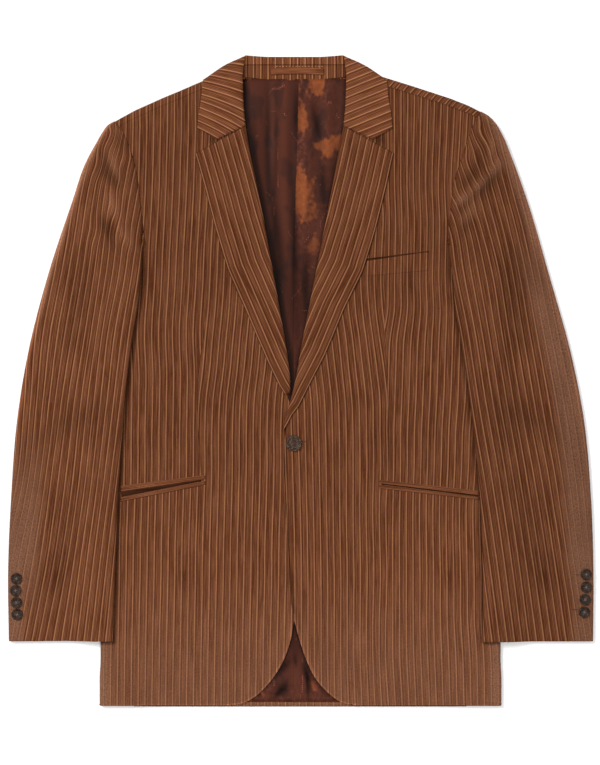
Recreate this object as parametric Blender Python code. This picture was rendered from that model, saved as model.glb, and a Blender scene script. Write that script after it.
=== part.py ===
"""Single-breasted needlecord jacket, laid flat on its back with the front up.

The tables are in millimetres: x is measured from the middle of the laid jacket
(the wearer's right side is at -x), up from the back hem, and z from the surface
it lies on. Each cut piece is a closed wall of its own, lofted from a short table
with one row for each station, and lies clear of the piece under it.
"""
import math
from collections import namedtuple

import bmesh
import bpy
from mathutils import Vector

MM = 0.001
LENGTH = 801.5          # back hem to the top of the collar
CORD = 1.6              # needlecord wall
SATIN = 1.0             # lining wall
SEAM = 0.3              # gap between two pieces that are sewn together
PLY = 0.6               # gap between two pieces that lie on each other

CENTRE = -7.6           # centre back, neck and closing, left of the middle of the laid width
FRONT_TOP = 5.2         # face of the fronts at the waist
LAP = CORD + PLY        # how far the left front is raised where it laps over the right
SIDE_TOP = 7.0          # face of the fronts at the side fold
CHEST = 3.4             # fullness of the chest over the waist
SHOULDER = 6.0          # rise from the yoke to the shoulder fold
SIDE_FOLD = 4.0         # how far the side fold reaches in from the silhouette
SHOULDER_FOLD = 6.0     # the same for the shoulder fold
SEAM_INSET = {"right": 3.0, "left": 9.0}    # shoulder seam, forward of the fold
COLLAR_LIFT = CORD + 0.4                    # back raised by the collar that lies under it
SLEEVE_DEEP = 7.2       # a flattened sleeve, through both of its walls
SLEEVE_FOLD = 4.0
SLEEVE_OVER = SIDE_TOP + 0.8                # underside of the sleeve where it lies on the body
SLEEVE_SLIDE = 42.0     # how far past the body's edge the sleeve takes to reach the floor
ROLL_NOSE = 2.6         # how far the rolled edge of lapel and collar reaches in
ROLL_DROP = 3.0         # how far it turns down
TUCK = 4.5              # edge of the front behind the rolled edge
ARMHOLE_GAP = 0.9       # round the whole armhole seam

Edge = namedtuple("Edge", "x up")
Station = namedtuple("Station", "inner_x inner_up outer_x outer_up")
SleeveRow = namedtuple("SleeveRow", "inner_x inner_up outer_x outer_up bow head")
CollarRow = namedtuple("CollarRow", "inner_x inner_up outer_x outer_up notch")
Fold = namedtuple("Fold", "x up to_x to_up width height")
Jet = namedtuple("Jet", "x up_top up_low to_x to_up_top to_up_low")

SIGN = {"right": -1.0, "left": 1.0}

# Armhole seam from the shoulder end to where the sleeve's inner fold crosses it.
ARMHOLE = {
    "right": [Edge(-229, 718), Edge(-219, 706), Edge(-212, 692), Edge(-204, 669),
              Edge(-200, 648), Edge(-196, 618), Edge(-194, 590), Edge(-193, 571)],
    "left": [Edge(223, 729), Edge(212, 710), Edge(203, 687), Edge(195, 664),
             Edge(189, 645), Edge(186, 618), Edge(184, 592), Edge(182, 571)],
}
NECK_POINT = {"right": Edge(-79, 786), "left": Edge(64, 787)}

# Rolled edge of the neck opening, from the neck point to chest level.
ROLL = {
    "right": [Edge(-76, 784), Edge(-71, 765), Edge(-69, 741), Edge(-66, 708), Edge(-55, 651),
              Edge(-44, 597), Edge(-41, 582)],
    "left": [Edge(62, 785), Edge(57, 765), Edge(55, 741), Edge(52, 708), Edge(41, 651),
             Edge(31, 597), Edge(28, 582)],
}

# Fronts below the armhole: front edge on the left of each row, side fold on the right.
SKIRT = {
    "right": [Station(-34, 543, -233, 541), Station(-27, 501, -234, 500),
              Station(-15, 434, -236, 432), Station(-11, 380, -238, 376),
              Station(0, 347, -239, 345), Station(14, 318, -240, 315),
              Station(14, 262, -242, 258), Station(7, 188, -244, 184),
              Station(-7, 110, -246, 108), Station(-12, 81, -246, 80),
              Station(-21, 56, -246, 56), Station(-33, 36, -247, 37),
              Station(-50, 17, -247, 18), Station(-69, 5, -247, 7),
              Station(-90, 2, -247, 2)],
    "left": [Station(20, 543, 233, 541), Station(12, 501, 234, 500),
             Station(0, 434, 236, 432), Station(-12, 378, 238, 374),
             Station(-21, 343, 239, 342), Station(-20, 317, 240, 315),
             Station(-18, 262, 242, 258), Station(-14, 188, 244, 184),
             Station(-8, 110, 246, 108), Station(0, 80, 247, 80),
             Station(8, 57, 247, 56), Station(19, 35, 248, 37),
             Station(34, 18, 248, 18), Station(50, 6, 248, 7),
             Station(68, 2, 248, 2)],
}
BACK_NECK = [Edge(CENTRE, 745), Edge(CENTRE, 772), Edge(-18, 787.5), Edge(-42, 787.5),
             Edge(-62, 787)]          # centre back and neckline of the right half
SIDE_SEAM = [Edge(194, 560), Edge(197, 480), Edge(201, 255), Edge(205, 0)]

LAPEL = {
    "right": [Station(-67, 714, -129, 680), Station(-59, 671, -119, 645),
              Station(-48, 618, -105, 592), Station(-38, 563, -89, 539),
              Station(-25, 490, -63, 479), Station(-16, 437, -40, 425),
              Station(-12, 403, -26, 396), Station(-12, 387, -19, 385)],
    "left": [Station(53, 714, 115, 681), Station(45, 671, 106, 640),
             Station(35, 618, 93, 588), Station(24, 560, 77, 536),
             Station(11, 494, 54, 489), Station(0, 437, 31, 434),
             Station(-6, 403, 11, 395), Station(-12, 378, -1, 371),
             Station(-17, 361, -10, 359), Station(-20, 350, -14, 351)],
}

LAPEL_END = {"right": (370, 385), "left": (334, 347)}   # where the front's own edge takes over

# Collar on the front, from the gorge up to the shoulder; notch is how far the middle dips.
COLLAR = [CollarRow(-67, 715.5, -126.5, 713, 15), CollarRow(-69, 735, -125, 729, 10),
          CollarRow(-70, 757, -122, 750, 5), CollarRow(-71, 778, -120, 763, 1)]
COLLAR_SHOULDER = Station(-68, LENGTH, -119, 774)   # where it turns over the shoulder
COLLAR_BACK = [Station(-52, LENGTH, -96, 752), Station(-30, LENGTH, -50, 746),
               Station(CENTRE, LENGTH, CENTRE, 745)]
NOTCH_AT = 0.6          # share of the way from the roll to the collar's edge
COLLAR_FOLD = 8.0
COLLAR_SPREAD = 1.02    # the left half of the collar against the right

# Sleeves from the armhole to the cuff: fold next to the body, then the outer fold.
SLEEVE = {
    "right": [SleeveRow(-193, 571, -230, 718, 1.0, 5.2), SleeveRow(-194, 555, -250, 701, .78, 4.6),
              SleeveRow(-195, 533, -265, 670, .52, 3.0), SleeveRow(-198, 503, -280, 625, .3, 1.6),
              SleeveRow(-205, 459, -308, 538, .1, .4), SleeveRow(-213, 400, -335, 430, 0, 0),
              SleeveRow(-219, 329, -348, 352, 0, 0), SleeveRow(-224, 252, -356, 262, 0, 0),
              SleeveRow(-227, 165, -360, 165, 0, 0), SleeveRow(-230, 82, -359, 81, 0, 0)],
    "left": [SleeveRow(182, 571, 226, 730, 1.0, 5.2), SleeveRow(184, 553, 247, 708, .78, 4.6),
             SleeveRow(187.5, 526, 263, 674, .52, 3.0), SleeveRow(190, 495, 279, 632, .3, 1.6),
             SleeveRow(198, 449, 309, 532, .1, .4), SleeveRow(207, 390, 336, 430, 0, 0),
             SleeveRow(214, 329, 350, 352, 0, 0), SleeveRow(221, 255, 357, 262, 0, 0),
             SleeveRow(224, 165, 360, 165, 0, 0), SleeveRow(224, 81, 359, 81, 0, 0)],
}

# Largest folds: a ridge where height is above 0, a trough below.
FOLDS = {
    "right": [Fold(-238, 668, -221, 628, 11, 1.8), Fold(-254, 640, -226, 560, 13, -1.3),
              Fold(-236, 600, -218, 540, 12, 1.6), Fold(-262, 420, -335, 360, 20, 1.5),
              Fold(-240, 372, -320, 330, 14, -1.2), Fold(-238, 300, -330, 292, 16, 1.2)],
    "left": [Fold(249, 657, 205, 597, 12, 2.0), Fold(262, 620, 222, 560, 13, -1.3),
             Fold(240, 565, 214, 520, 12, 1.5), Fold(262, 425, 338, 372, 20, 1.5),
             Fold(238, 376, 322, 334, 14, -1.2), Fold(236, 296, 330, 300, 16, 1.2)],
}

LINING_EDGE = [Edge(192, 6), Edge(190, 255), Edge(182, 480), Edge(172, 560), Edge(168, 640),
               Edge(144, 700), Edge(130, 721), Edge(110, 745), Edge(82, 773.5)]    # x from the centre
FACING_LOW, NECK_SEAM = 774.0, 791.0
NECK_BAND = Edge(-64, 49)                   # the two ends of the stand and the facing
LOOP = Station(-36, 782.5, 29, 782.5)
LOOP_WIDTH = 8.0

WELT = Jet(82, 549.5, 530.5, 160, 561, 538)
HIP_JETS = {
    "right": [Jet(-221, 272.5, 264, -117, 285.5, 280), Jet(-221, 259.5, 254.5, -117, 279, 274)],
    "left": [Jet(96, 280, 275.8, 220, 266.5, 260.8), Jet(96, 274.6, 269.5, 220, 259, 255.5)],
}
JET_WALL = 1.2

FRONT_BUTTON = Edge(CENTRE, 325)
FRONT_BUTTON_SIZE, CUFF_BUTTON_SIZE = 20.0, 13.4
CUFF_BUTTONS = {
    "right": [Edge(-349, 158.5), Edge(-350, 143.8), Edge(-349, 129.1), Edge(-348, 114.4)],
    "left": [Edge(352, 163.5), Edge(352, 148), Edge(350.5, 132.6), Edge(349.5, 117.2)],
}

CORD_BROWN = (0.17, 0.052, 0.02)
LINING_BROWN = (0.07, 0.018, 0.01)
HORN_BROWN = (0.035, 0.018, 0.012)


# ---------------------------------------------------------------- sums on sizes

def blend(start, end, share):
    return start + (end - start) * share


def ease(start, end, value):
    """0 before start, 1 after end, smooth between; start may be above end."""
    share = min(max((value - start) / (end - start), 0.0), 1.0)
    return share * share * (3.0 - 2.0 * share)


def hill(distance, reach):
    return math.cos(min(abs(distance) / reach, 1.0) * math.pi / 2.0) ** 2


def finer(rows, steps):
    """Rows of a table joined by a smooth curve, with steps rows to each of its own."""
    fine = []
    for i in range(len(rows) - 1):
        before, start, end = rows[max(i - 1, 0)], rows[i], rows[i + 1]
        after = rows[min(i + 2, len(rows) - 1)]
        for k in range(steps):
            t = k / steps
            fine.append(type(rows[0])(*(
                0.5 * (2 * b + (c - a) * t + (2 * a - 5 * b + 4 * c - d) * t ** 2
                       + (3 * b - a - 3 * c + d) * t ** 3)
                for a, b, c, d in zip(before, start, end, after))))
    return fine + [rows[-1]]


def run_of(line):
    return sum(math.dist(a, b) for a, b in zip(line, line[1:]))


def point_along(line, share):
    """The point at a share of the length of a line of edge points."""
    lengths = [math.dist(a, b) for a, b in zip(line, line[1:])]
    left = share * sum(lengths)
    for start, end, length in zip(line, line[1:], lengths):
        if left <= length:
            return Edge(blend(start.x, end.x, left / length), blend(start.up, end.up, left / length))
        left -= length
    return line[-1]


def x_at(line, up):
    """x of a line of edge points at a height."""
    rows = sorted(line, key=lambda row: row.up)
    for low, high in zip(rows, rows[1:]):
        if up <= high.up:
            return blend(low.x, high.x, max(up - low.up, 0.0) / (high.up - low.up))
    return rows[-1].x


# ---------------------------------------------------------------- heights

def side_of(x):
    return "right" if x < CENTRE else "left"


def shoulder_ends(side):
    """Neck end and sleeve end of the shoulder's silhouette, and the way square to it, down the body."""
    neck, end = Vector(NECK_POINT[side]), Vector(ARMHOLE[side][0])
    square = (end - neck).orthogonal().normalized()
    return neck, end, -square if square.y > 0 else square


def below_shoulder(x, up):
    """Distance down the body from the shoulder's silhouette."""
    neck, end, down = shoulder_ends(side_of(x))
    return (Vector((x, up)) - neck).dot(down)


def yoke_line(side, reach):
    """Ends of a line that runs with the shoulder, at a distance down the body: at the neck
    and on the armhole."""
    neck, end, down = shoulder_ends(side)
    armhole = finer(ARMHOLE[side], 4)
    start = (Vector(armhole[1]) - Vector(armhole[0])).normalized()
    return neck + down * reach, Vector(point_along(armhole, reach / start.dot(down) / run_of(armhole)))


def front_top(x, up, side):
    """Face of a front: full at the chest, high at the shoulder, raised where it laps."""
    height = FRONT_TOP + (SIDE_TOP - FRONT_TOP) * ease(150, 215, abs(x)) * ease(600, 560, up)
    height += CHEST * hill(abs(x - CENTRE) - 105, 95) * hill(up - 560, 150)
    height += SHOULDER * ease(100, 6, below_shoulder(x, up))
    if side == "left":
        height += LAP * ease(72, 22, x)
    return height


def back_lift(x, up):
    """The back lies on the floor, but over the collar where that is turned down behind it."""
    return COLLAR_LIFT * ease(695, 742, up) * ease(168, 124, abs(x - CENTRE))


def sleeve_under(x, up):
    """Underside of a sleeve: on the body's side, then down to the floor beside it."""
    body_edge = x_at([Edge(row.outer_x, row.outer_up) for row in SKIRT[side_of(x)]], up)
    return (SLEEVE_OVER * ease(630, 562, up)
            * ease(SLEEVE_SLIDE, 2, abs(x) - abs(body_edge)))


def fold_height(x, up, side):
    """Soft ridges and troughs of the sleeve cloth."""
    height = 0.0
    for fold in FOLDS[side]:
        start, end, point = Vector((fold.x, fold.up)), Vector((fold.to_x, fold.to_up)), Vector((x, up))
        share = (point - start).dot(end - start) / (end - start).length_squared
        nearest = start.lerp(end, min(max(share, 0.0), 1.0))
        taper = hill(share - 0.5, 0.75)
        height += fold.height * taper * math.exp(-((point - nearest).length / fold.width) ** 2)
    return height


# ---------------------------------------------------------------- walls

def place(x, up, z):
    return Vector((x, up - LENGTH / 2.0, z)) * MM


def facing_of(face, row, column):
    """Unit normal of a grid of points at one of them."""
    last_row, last_column = len(face) - 1, len(face[0]) - 1
    along = face[min(row + 1, last_row)][column] - face[max(row - 1, 0)][column]
    across = face[row][min(column + 1, last_column)] - face[row][max(column - 1, 0)]
    return across.cross(along).normalized()


def in_seam(normal, run):
    """The wall's direction kept in the upright plane of a seam that runs this way."""
    sideways = Vector((-run.y, run.x, 0.0)).normalized()
    return normal - sideways * normal.dot(sideways)


def wall_behind(face, thickness, looks, turned_first, turned_last):
    """The other side of a wall whose outer face looks up (1) or down (-1) at its middle. A first
    or last column is either a fold's edge, where the wall stands on end, or a plain cut edge."""
    rows, columns = len(face), len(face[0])
    turn = thickness * MM * (1.0 if facing_of(face, rows // 2, columns // 2).z * looks > 0 else -1.0)
    behind = []
    for row in range(rows):
        line = []
        for column in range(columns):
            normal = facing_of(face, row, column)
            turned = {0: turned_first, columns - 1: turned_last}.get(column)
            if turned is not None and turned[row]:
                normal.z = 0.0
            elif turned is not None:
                other = row + 1 if row == 0 else row - 1
                normal = in_seam(normal, face[row][column] - face[other][column])
            if row in (0, rows - 1) and abs(normal.z) > 0.7:
                other = column + 1 if column == 0 else column - 1
                normal = in_seam(normal, face[row][column] - face[row][other])
            line.append(face[row][column] - normal.normalized() * turn)
        behind.append(line)
    return behind


def keep(name, mesh, colour, roughness):
    """Give a finished mesh its object and material, in the jacket's collection."""
    bmesh.ops.recalc_face_normals(mesh, faces=mesh.faces)
    if mesh.calc_volume(signed=True) < 0.0:
        bmesh.ops.reverse_faces(mesh, faces=mesh.faces)
    data = bpy.data.meshes.new(name)
    mesh.to_mesh(data)
    mesh.free()
    data.shade_smooth()
    data.set_sharp_from_angle(angle=math.radians(40))
    finish = bpy.data.materials.get(name) or bpy.data.materials.new(name)
    finish.use_nodes = True
    shader = finish.node_tree.nodes["Principled BSDF"]
    shader.inputs["Base Color"].default_value = (*colour, 1.0)
    shader.inputs["Roughness"].default_value = roughness
    shader.inputs["Metallic"].default_value = 0.0
    data.materials.append(finish)
    piece = bpy.data.objects.new(name, data)
    jacket.objects.link(piece)
    return piece


def wall(name, face, thickness=CORD, looks=1, first=False, last=False, colour=CORD_BROWN, roughness=0.9):
    """A closed wall: a flat grid extruded once, its two sides moved onto the two grids of points."""
    rows, columns = len(face) - 1, len(face[0]) - 1
    first, last = (edge if isinstance(edge, list) else [edge] * len(face) for edge in (first, last))
    behind = wall_behind(face, thickness, looks, first, last)
    mesh = bmesh.new()
    bmesh.ops.create_grid(mesh, x_segments=columns, y_segments=rows, size=1.0)
    flat = mesh.verts[:] + mesh.edges[:] + mesh.faces[:]
    turned = bmesh.ops.extrude_face_region(mesh, geom=flat, use_keep_orig=True)
    raised = {item for item in turned["geom"] if isinstance(item, bmesh.types.BMVert)}
    for vertex in mesh.verts:
        row = round((vertex.co.y + 1.0) / 2.0 * rows)
        column = round((vertex.co.x + 1.0) / 2.0 * columns)
        vertex.co = face[row][column] if vertex in raised else behind[row][column]
    return keep(name, mesh, colour, roughness)


def even(count, first=0.0, last=1.0):
    return [blend(first, last, k / count) for k in range(count + 1)]


def quarter(count):
    """Angles of a quarter turn, from the silhouette inwards, without its end."""
    return [math.radians(90.0 * k / count) for k in range(count)]


# ---------------------------------------------------------------- body

def sleeve_folds(rows, index):
    """Share of a sleeve row that each of its two folds takes, more where the row runs aslant."""
    row, after = rows[index], rows[min(index + 1, len(rows) - 1)]
    before = rows[max(index - 1, 0)] if after is row else row
    run = Vector((row.outer_x - row.inner_x, row.outer_up - row.inner_up))
    down_in = Vector((after.inner_x - before.inner_x, after.inner_up - before.inner_up)).normalized()
    down_out = Vector((after.outer_x - before.outer_x, after.outer_up - before.outer_up)).normalized()
    way = run.normalized()
    return [SLEEVE_FOLD / (run.length * abs(way.cross(down))) for down in (down_in, down_out)]


def armhole_shares(side):
    """Where the sleeve's columns meet the armhole, which the fronts and back share."""
    inner, outer = sleeve_folds(finer(SLEEVE[side], 2), 0)
    return [0.0] + even(6, outer, 1.0 - inner) + [1.0]


def front(side):
    """Front from the shoulder seam to the hem; its side edge turns down at the side fold."""
    sign = SIGN[side]
    armhole, roll = finer(ARMHOLE[side], 4), finer(ROLL[side], 3)
    neck, hole = yoke_line(side, SHOULDER_FOLD + SEAM_INSET[side] + SEAM)
    tuck, gap = Vector((sign * TUCK, 0.0)), Vector((sign * ARMHOLE_GAP / 2, 0.0))
    rows = [(neck + (hole - neck).normalized() * TUCK, hole - gap, False)]
    shares = armhole_shares(side)[2:]
    shares = sorted(shares + [(low + high) / 2 for low, high in zip(shares, shares[1:])])
    for share in shares:
        rows.append((Vector(point_along(roll, share)) + tuck, Vector(point_along(armhole, share)) - gap, False))
    start, stop = rows[-1], SKIRT[side][0]
    for drop in (0.4, 0.75):
        rows.append((start[0].lerp(Vector((stop.inner_x + sign * TUCK, stop.inner_up)), drop),
                     Vector((blend(start[1].x, stop.outer_x, drop ** 2),
                             blend(start[1].y, stop.outer_up, drop))), False))
    for row in SKIRT[side]:
        tuck = TUCK * ease(*LAPEL_END[side], row.inner_up)
        rows.append((Vector((row.inner_x + sign * tuck, row.inner_up)),
                     Vector((row.outer_x, row.outer_up)), row is not SKIRT[side][0]))
    turns = quarter(3)
    face = []
    for inner, outer, turned in rows:
        fold = SIDE_FOLD / (outer - inner).length
        line = []
        for share in even(7, 0.0, 1.0 - fold):
            spot = inner.lerp(outer, share)
            line.append(place(spot.x, spot.y, front_top(spot.x, spot.y, side)))
        for angle in reversed(turns):
            spot = inner.lerp(outer, 1.0 - fold * (1.0 - math.cos(angle)))
            drop = turned * (SIDE_TOP / 2.0 - SEAM) * (1.0 - math.sin(angle))
            line.append(place(spot.x, spot.y, front_top(spot.x, spot.y, side) - drop))
        face.append(line)
    return wall(f"front_{side}", face, last=[turned for inner, outer, turned in rows])


def side_panel(side):
    """Under-arm panel: from the side fold, round under the body, to the seam with the back."""
    sign = SIGN[side]
    face = []
    for row in SKIRT[side]:
        seam = sign * (x_at(SIDE_SEAM, row.outer_up) + SEAM)
        line = []
        for angle in quarter(3):
            reach = SIDE_FOLD * (1.0 - math.cos(angle))
            z = (SIDE_TOP / 2.0 - SEAM) * (1.0 - math.sin(angle))
            line.append(place(row.outer_x - sign * reach, row.outer_up, z))
        for share in even(2):
            line.append(place(blend(row.outer_x - sign * SIDE_FOLD, seam, share), row.outer_up, 0.0))
        face.append(line)
    return wall(f"side_panel_{side}", face, looks=-1, first=True)


def back(side):
    """Half of the back: flat on the floor, turned up and over the shoulder to its seam."""
    sign = SIGN[side]
    armhole = finer(ARMHOLE[side], 4)
    gap = Vector((sign * ARMHOLE_GAP / 2, 0.0))
    rows = [(Vector((CENTRE, up)), Vector((sign * x_at(SIDE_SEAM, up), up)))
            for up in (0.0, 60.0, 150.0, 255.0, 370.0, 480.0, 545.0)]
    shares = list(reversed(armhole_shares(side)[2:]))
    centre_rows = [Vector((CENTRE, up)) for up in even(len(shares) - 1, 578.0, 720.0)]
    neck_rows = [Vector((CENTRE + (row.x - CENTRE) * -sign, row.up)) for row in BACK_NECK]
    rows += [(inner, Vector(point_along(armhole, share)) - gap) for inner, share in zip(centre_rows, shares)]
    rows += [(inner, Vector(point_along(armhole, share)) - gap)
             for inner, share in zip(neck_rows, even(len(neck_rows), shares[-1], 0.07)[1:])]
    middle_gap = Vector((sign * SEAM / 2, 0.0))
    columns = even(6)
    face = []
    for inner, outer in rows:
        spots = [(inner + middle_gap).lerp(outer, share) for share in columns]
        face.append([place(spot.x, spot.y, back_lift(spot.x, spot.y)) for spot in spots])
    turns = [(math.radians(angle), 0.0) for angle in range(0, 181, 30)] + [(math.pi, SEAM_INSET[side])]
    for angle, past in turns:
        inner, outer = yoke_line(side, SHOULDER_FOLD * (1.0 - math.sin(angle)) + past)
        base_in, base_out = yoke_line(side, SHOULDER_FOLD + past)
        line = []
        for share in columns:
            spot = inner.lerp(outer - gap, share)
            base = base_in.lerp(base_out, share)
            floor = back_lift(base.x, base.y)
            rise = (1.0 - math.cos(angle)) / 2.0 * (front_top(base.x, base.y, "right") - floor)
            line.append(place(spot.x, spot.y, floor + rise))
        face.append(line)
    return wall(f"back_{side}", face, looks=-1)


def lining(side):
    """Half of the back's lining, which shows in the neck and under the cutaway fronts."""
    sign = SIGN[side]
    face = []
    for row in LINING_EDGE:
        line = []
        for share in even(5):
            x = CENTRE + sign * blend(SEAM / 2, row.x, share)
            line.append(place(x, row.up, 1.25 * back_lift(x, row.up) + CORD + 0.4 + SATIN))
        face.append(line)
    return wall(f"lining_back_{side}", face, thickness=SATIN, colour=LINING_BROWN, roughness=0.4)


# ---------------------------------------------------------------- lapels and collar

def lapel(side):
    """Lapel turned back over the front, with a rolled edge along the break."""
    face = []
    for row in finer(LAPEL[side], 2):
        inner, outer = Vector((row.inner_x, row.inner_up)), Vector((row.outer_x, row.outer_up))
        width = (outer - inner).length
        nose = min(ROLL_NOSE, 0.4 * width)
        line = []
        for angle in quarter(3):
            spot = inner.lerp(outer, nose * (1.0 - math.cos(angle)) / width)
            z = front_top(spot.x, spot.y, side) + PLY + CORD - ROLL_DROP * (1.0 - math.sin(angle))
            line.append(place(spot.x, spot.y, z))
        for share in even(4, nose / width, 1.0):
            spot = inner.lerp(outer, share)
            line.append(place(spot.x, spot.y, front_top(spot.x, spot.y, side) + PLY + CORD))
        face.append(line)
    return wall(f"lapel_{side}", face, first=True)


def collar():
    """Fall of the collar: on both fronts, over the shoulders and down behind the neck."""
    half = []
    for number, row in enumerate(finer(COLLAR, 2)):
        half.append((row, row.notch, 1.0, 0.0, -ease(6, 3, number)))
    for angle in (90, 60, 30, 0, -30, -60, -90):
        turn = math.radians(angle)
        half.append((COLLAR_SHOULDER, 0.0, 0.5 + 0.5 * math.sin(turn),
                     COLLAR_FOLD * (1.0 - math.cos(turn)), 0.0))
    for row in finer(COLLAR_BACK, 2):
        half.append((row, 0.0, 0.0, 0.0, 0.0))
    face, rolled = [], []
    for mirrored in (False, True):
        for row, notch, level, inset, nose in half if not mirrored else half[-2::-1]:
            inner, outer = Vector((row.inner_x, row.inner_up)), Vector((row.outer_x, row.outer_up))
            square = (outer - inner).orthogonal().normalized()
            shift = square * (-inset if square.y > 0 else inset)
            width = (outer - inner).length
            shares = [blend(0.06 * k, ROLL_NOSE * (1.0 - math.cos(angle)) / width, abs(nose))
                      for k, angle in enumerate(quarter(3) + [math.pi / 2.0])]
            shares += [0.38, NOTCH_AT, 0.8, 1.0]
            line = []
            for k, share in enumerate(shares):
                dip = share / NOTCH_AT if share < NOTCH_AT else (1.0 - share) / (1.0 - NOTCH_AT)
                spot = inner.lerp(outer, share) + shift - Vector((0.0, notch * dip))
                x = CENTRE + COLLAR_SPREAD * (CENTRE - spot.x) if mirrored else spot.x
                turned = 1.0 - math.sin(quarter(3)[k]) if k < 3 else 0.0
                on_top = front_top(x, min(spot.y, 776.0), "right") + PLY + CORD
                line.append(place(x, spot.y, level * on_top + turned * nose * ROLL_DROP))
            face.append(line)
            rolled.append(abs(nose) > 0.4)
    return wall("collar_fall", face, looks=-1, first=rolled)


def neck_bands():
    """Stand inside the collar, the facing below it, and the hanger loop on the facing."""
    level = COLLAR_LIFT + CORD + 0.4 + 1.4
    edge = LENGTH - SEAM
    stand, facing = [], []
    for x in even(6, *NECK_BAND):
        line = [place(x, edge - 2.4 * (1.0 - math.cos(angle)), level + 0.2 - 3.3 * (1.0 - math.sin(angle)))
                for angle in quarter(3)]
        line += [place(x, up, level + 0.2) for up in even(2, edge - 2.4, NECK_SEAM + SEAM / 2)]
        stand.append(line)
        facing.append([place(x, up, level) for up in even(2, NECK_SEAM - SEAM / 2, FACING_LOW)])
    wall("collar_stand", stand, first=True)
    wall("neck_facing", facing, thickness=1.3)
    arch = []
    for share in even(8):
        x = blend(LOOP.inner_x, LOOP.outer_x, share)
        z = level + 0.3 + CORD + 1.4 * math.sin(math.pi * share)
        arch.append([place(x, LOOP.inner_up + LOOP_WIDTH * (side - 0.5), z) for side in even(2)])
    wall("hanger_loop", arch)


# ---------------------------------------------------------------- pockets and buttons

def jet(name, strip, side, thickness):
    """A strip laid on a front, made from the front's own face, moved out."""
    face = []
    for share in even(6):
        x = blend(strip.x, strip.to_x, share)
        line = []
        for down in even(2):
            up = blend(blend(strip.up_top, strip.to_up_top, share),
                       blend(strip.up_low, strip.to_up_low, share), down)
            line.append(place(x, up, front_top(x, up, side) + PLY + thickness))
        face.append(line)
    return wall(name, face, thickness=thickness)


def button(name, spot, size, seat, sides=14):
    """Turned horn button with a raised rim and a dished middle, stood just off the cloth."""
    radius, rise = size / 2.0, size * 0.17
    profile = [(0.0, 0.0), (0.72, 0.0), (0.95, 0.3), (1.0, 0.6), (0.93, 0.93), (0.82, 1.0),
               (0.7, 0.86), (0.62, 0.66), (0.0, 0.6)]
    turned = bmesh.new()
    points = [turned.verts.new((share * radius * MM, 0.0, (seat + SEAM + tall * rise) * MM))
              for share, tall in profile]
    for start, end in zip(points, points[1:]):
        turned.edges.new((start, end))
    bmesh.ops.spin(turned, geom=turned.verts[:] + turned.edges[:], cent=(0, 0, 0), axis=(0, 0, 1),
                   angle=math.tau, steps=sides, use_merge=True)
    bmesh.ops.remove_doubles(turned, verts=turned.verts, dist=0.00001)
    bmesh.ops.translate(turned, verts=turned.verts, vec=place(spot.x, spot.up, 0.0))
    return keep(name, turned, HORN_BROWN, 0.35)


# ---------------------------------------------------------------- sleeves

def sleeve(side):
    """Two-piece sleeve pressed flat: the upper piece on top, the under piece below, seamed
    along both folds."""
    sign = SIGN[side]
    armhole = finer(ARMHOLE[side], 4)
    chord_in, chord_out = armhole[-1], armhole[0]
    upper, under = [], []
    rows = finer(SLEEVE[side], 2)
    for index, row in enumerate(rows):
        inner, outer = Vector((row.inner_x, row.inner_up)), Vector((row.outer_x, row.outer_up))
        fold_in, fold_out = sleeve_folds(rows, index)
        turn = [1.0 - math.cos(angle) for angle in quarter(3)]
        shares = ([fold_in * step for step in turn] + even(6, fold_in, 1.0 - fold_out)
                  + [1.0 - fold_out * step for step in reversed(turn)])
        top_line, low_line = [], []
        for k, share in enumerate(shares):
            on_hole = point_along(armhole, 1.0 - share)
            straight = Edge(blend(chord_in.x, chord_out.x, share), blend(chord_in.up, chord_out.up, share))
            spot = inner.lerp(outer, share)
            spot += Vector((on_hole.x - straight.x, on_hole.up - straight.up)) * row.bow
            spot.x += sign * ARMHOLE_GAP / 2 * ease(3, 0, index)
            edge = min(k, len(shares) - 1 - k)
            round_off = math.sin(quarter(3)[edge]) if edge < 3 else 1.0
            floor = sleeve_under(spot.x, spot.y)
            half = (SLEEVE_DEEP + row.head * ease(-0.1, 0.9, share)) / 2.0
            inward = ease(0.0, 0.12, share) * ease(1.0, 0.88, share)
            crease = fold_height(spot.x, spot.y, side) * inward
            top_line.append(place(spot.x, spot.y, floor + half + SEAM / 2 + (half - SEAM / 2) * round_off + crease))
            low_line.append(place(spot.x, spot.y, floor + (half - SEAM / 2) * (1.0 - round_off)))
        upper.append(top_line)
        under.append(low_line)
    wall(f"upper_sleeve_{side}", upper, first=True, last=True)
    wall(f"under_sleeve_{side}", under, looks=-1, first=True, last=True)
    for number, spot in enumerate(CUFF_BUTTONS[side], 1):
        seat = sleeve_under(spot.x, spot.up) + SLEEVE_DEEP
        button(f"cuff_button_{side}_{number}", spot, CUFF_BUTTON_SIZE, seat)


# ---------------------------------------------------------------- the jacket

for thing in list(bpy.data.objects):
    bpy.data.objects.remove(thing, do_unlink=True)
jacket = bpy.data.collections.new("corduroy_jacket")
bpy.context.scene.collection.children.link(jacket)

for hand in ("right", "left"):
    back(hand)
    side_panel(hand)
    lining(hand)
    front(hand)
    lapel(hand)
    sleeve(hand)
    jet(f"hip_pocket_jet_upper_{hand}", HIP_JETS[hand][0], hand, JET_WALL)
    jet(f"hip_pocket_jet_lower_{hand}", HIP_JETS[hand][1], hand, JET_WALL)
collar()
neck_bands()
jet("breast_welt", WELT, "left", JET_WALL)
button("front_button", FRONT_BUTTON, FRONT_BUTTON_SIZE,
       front_top(FRONT_BUTTON.x, FRONT_BUTTON.up, "left"))
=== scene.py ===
"""Single-breasted needlecord jacket, laid flat on its back with the front up.

Sizes are in millimetres: x from the middle of the laid jacket (the wearer's right
side is at -x), up from the back hem, z from the surface it lies on.
"""
import math
from bisect import bisect_right
from collections import namedtuple

import bmesh
import bpy
from mathutils import Euler, Matrix, Vector


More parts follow.
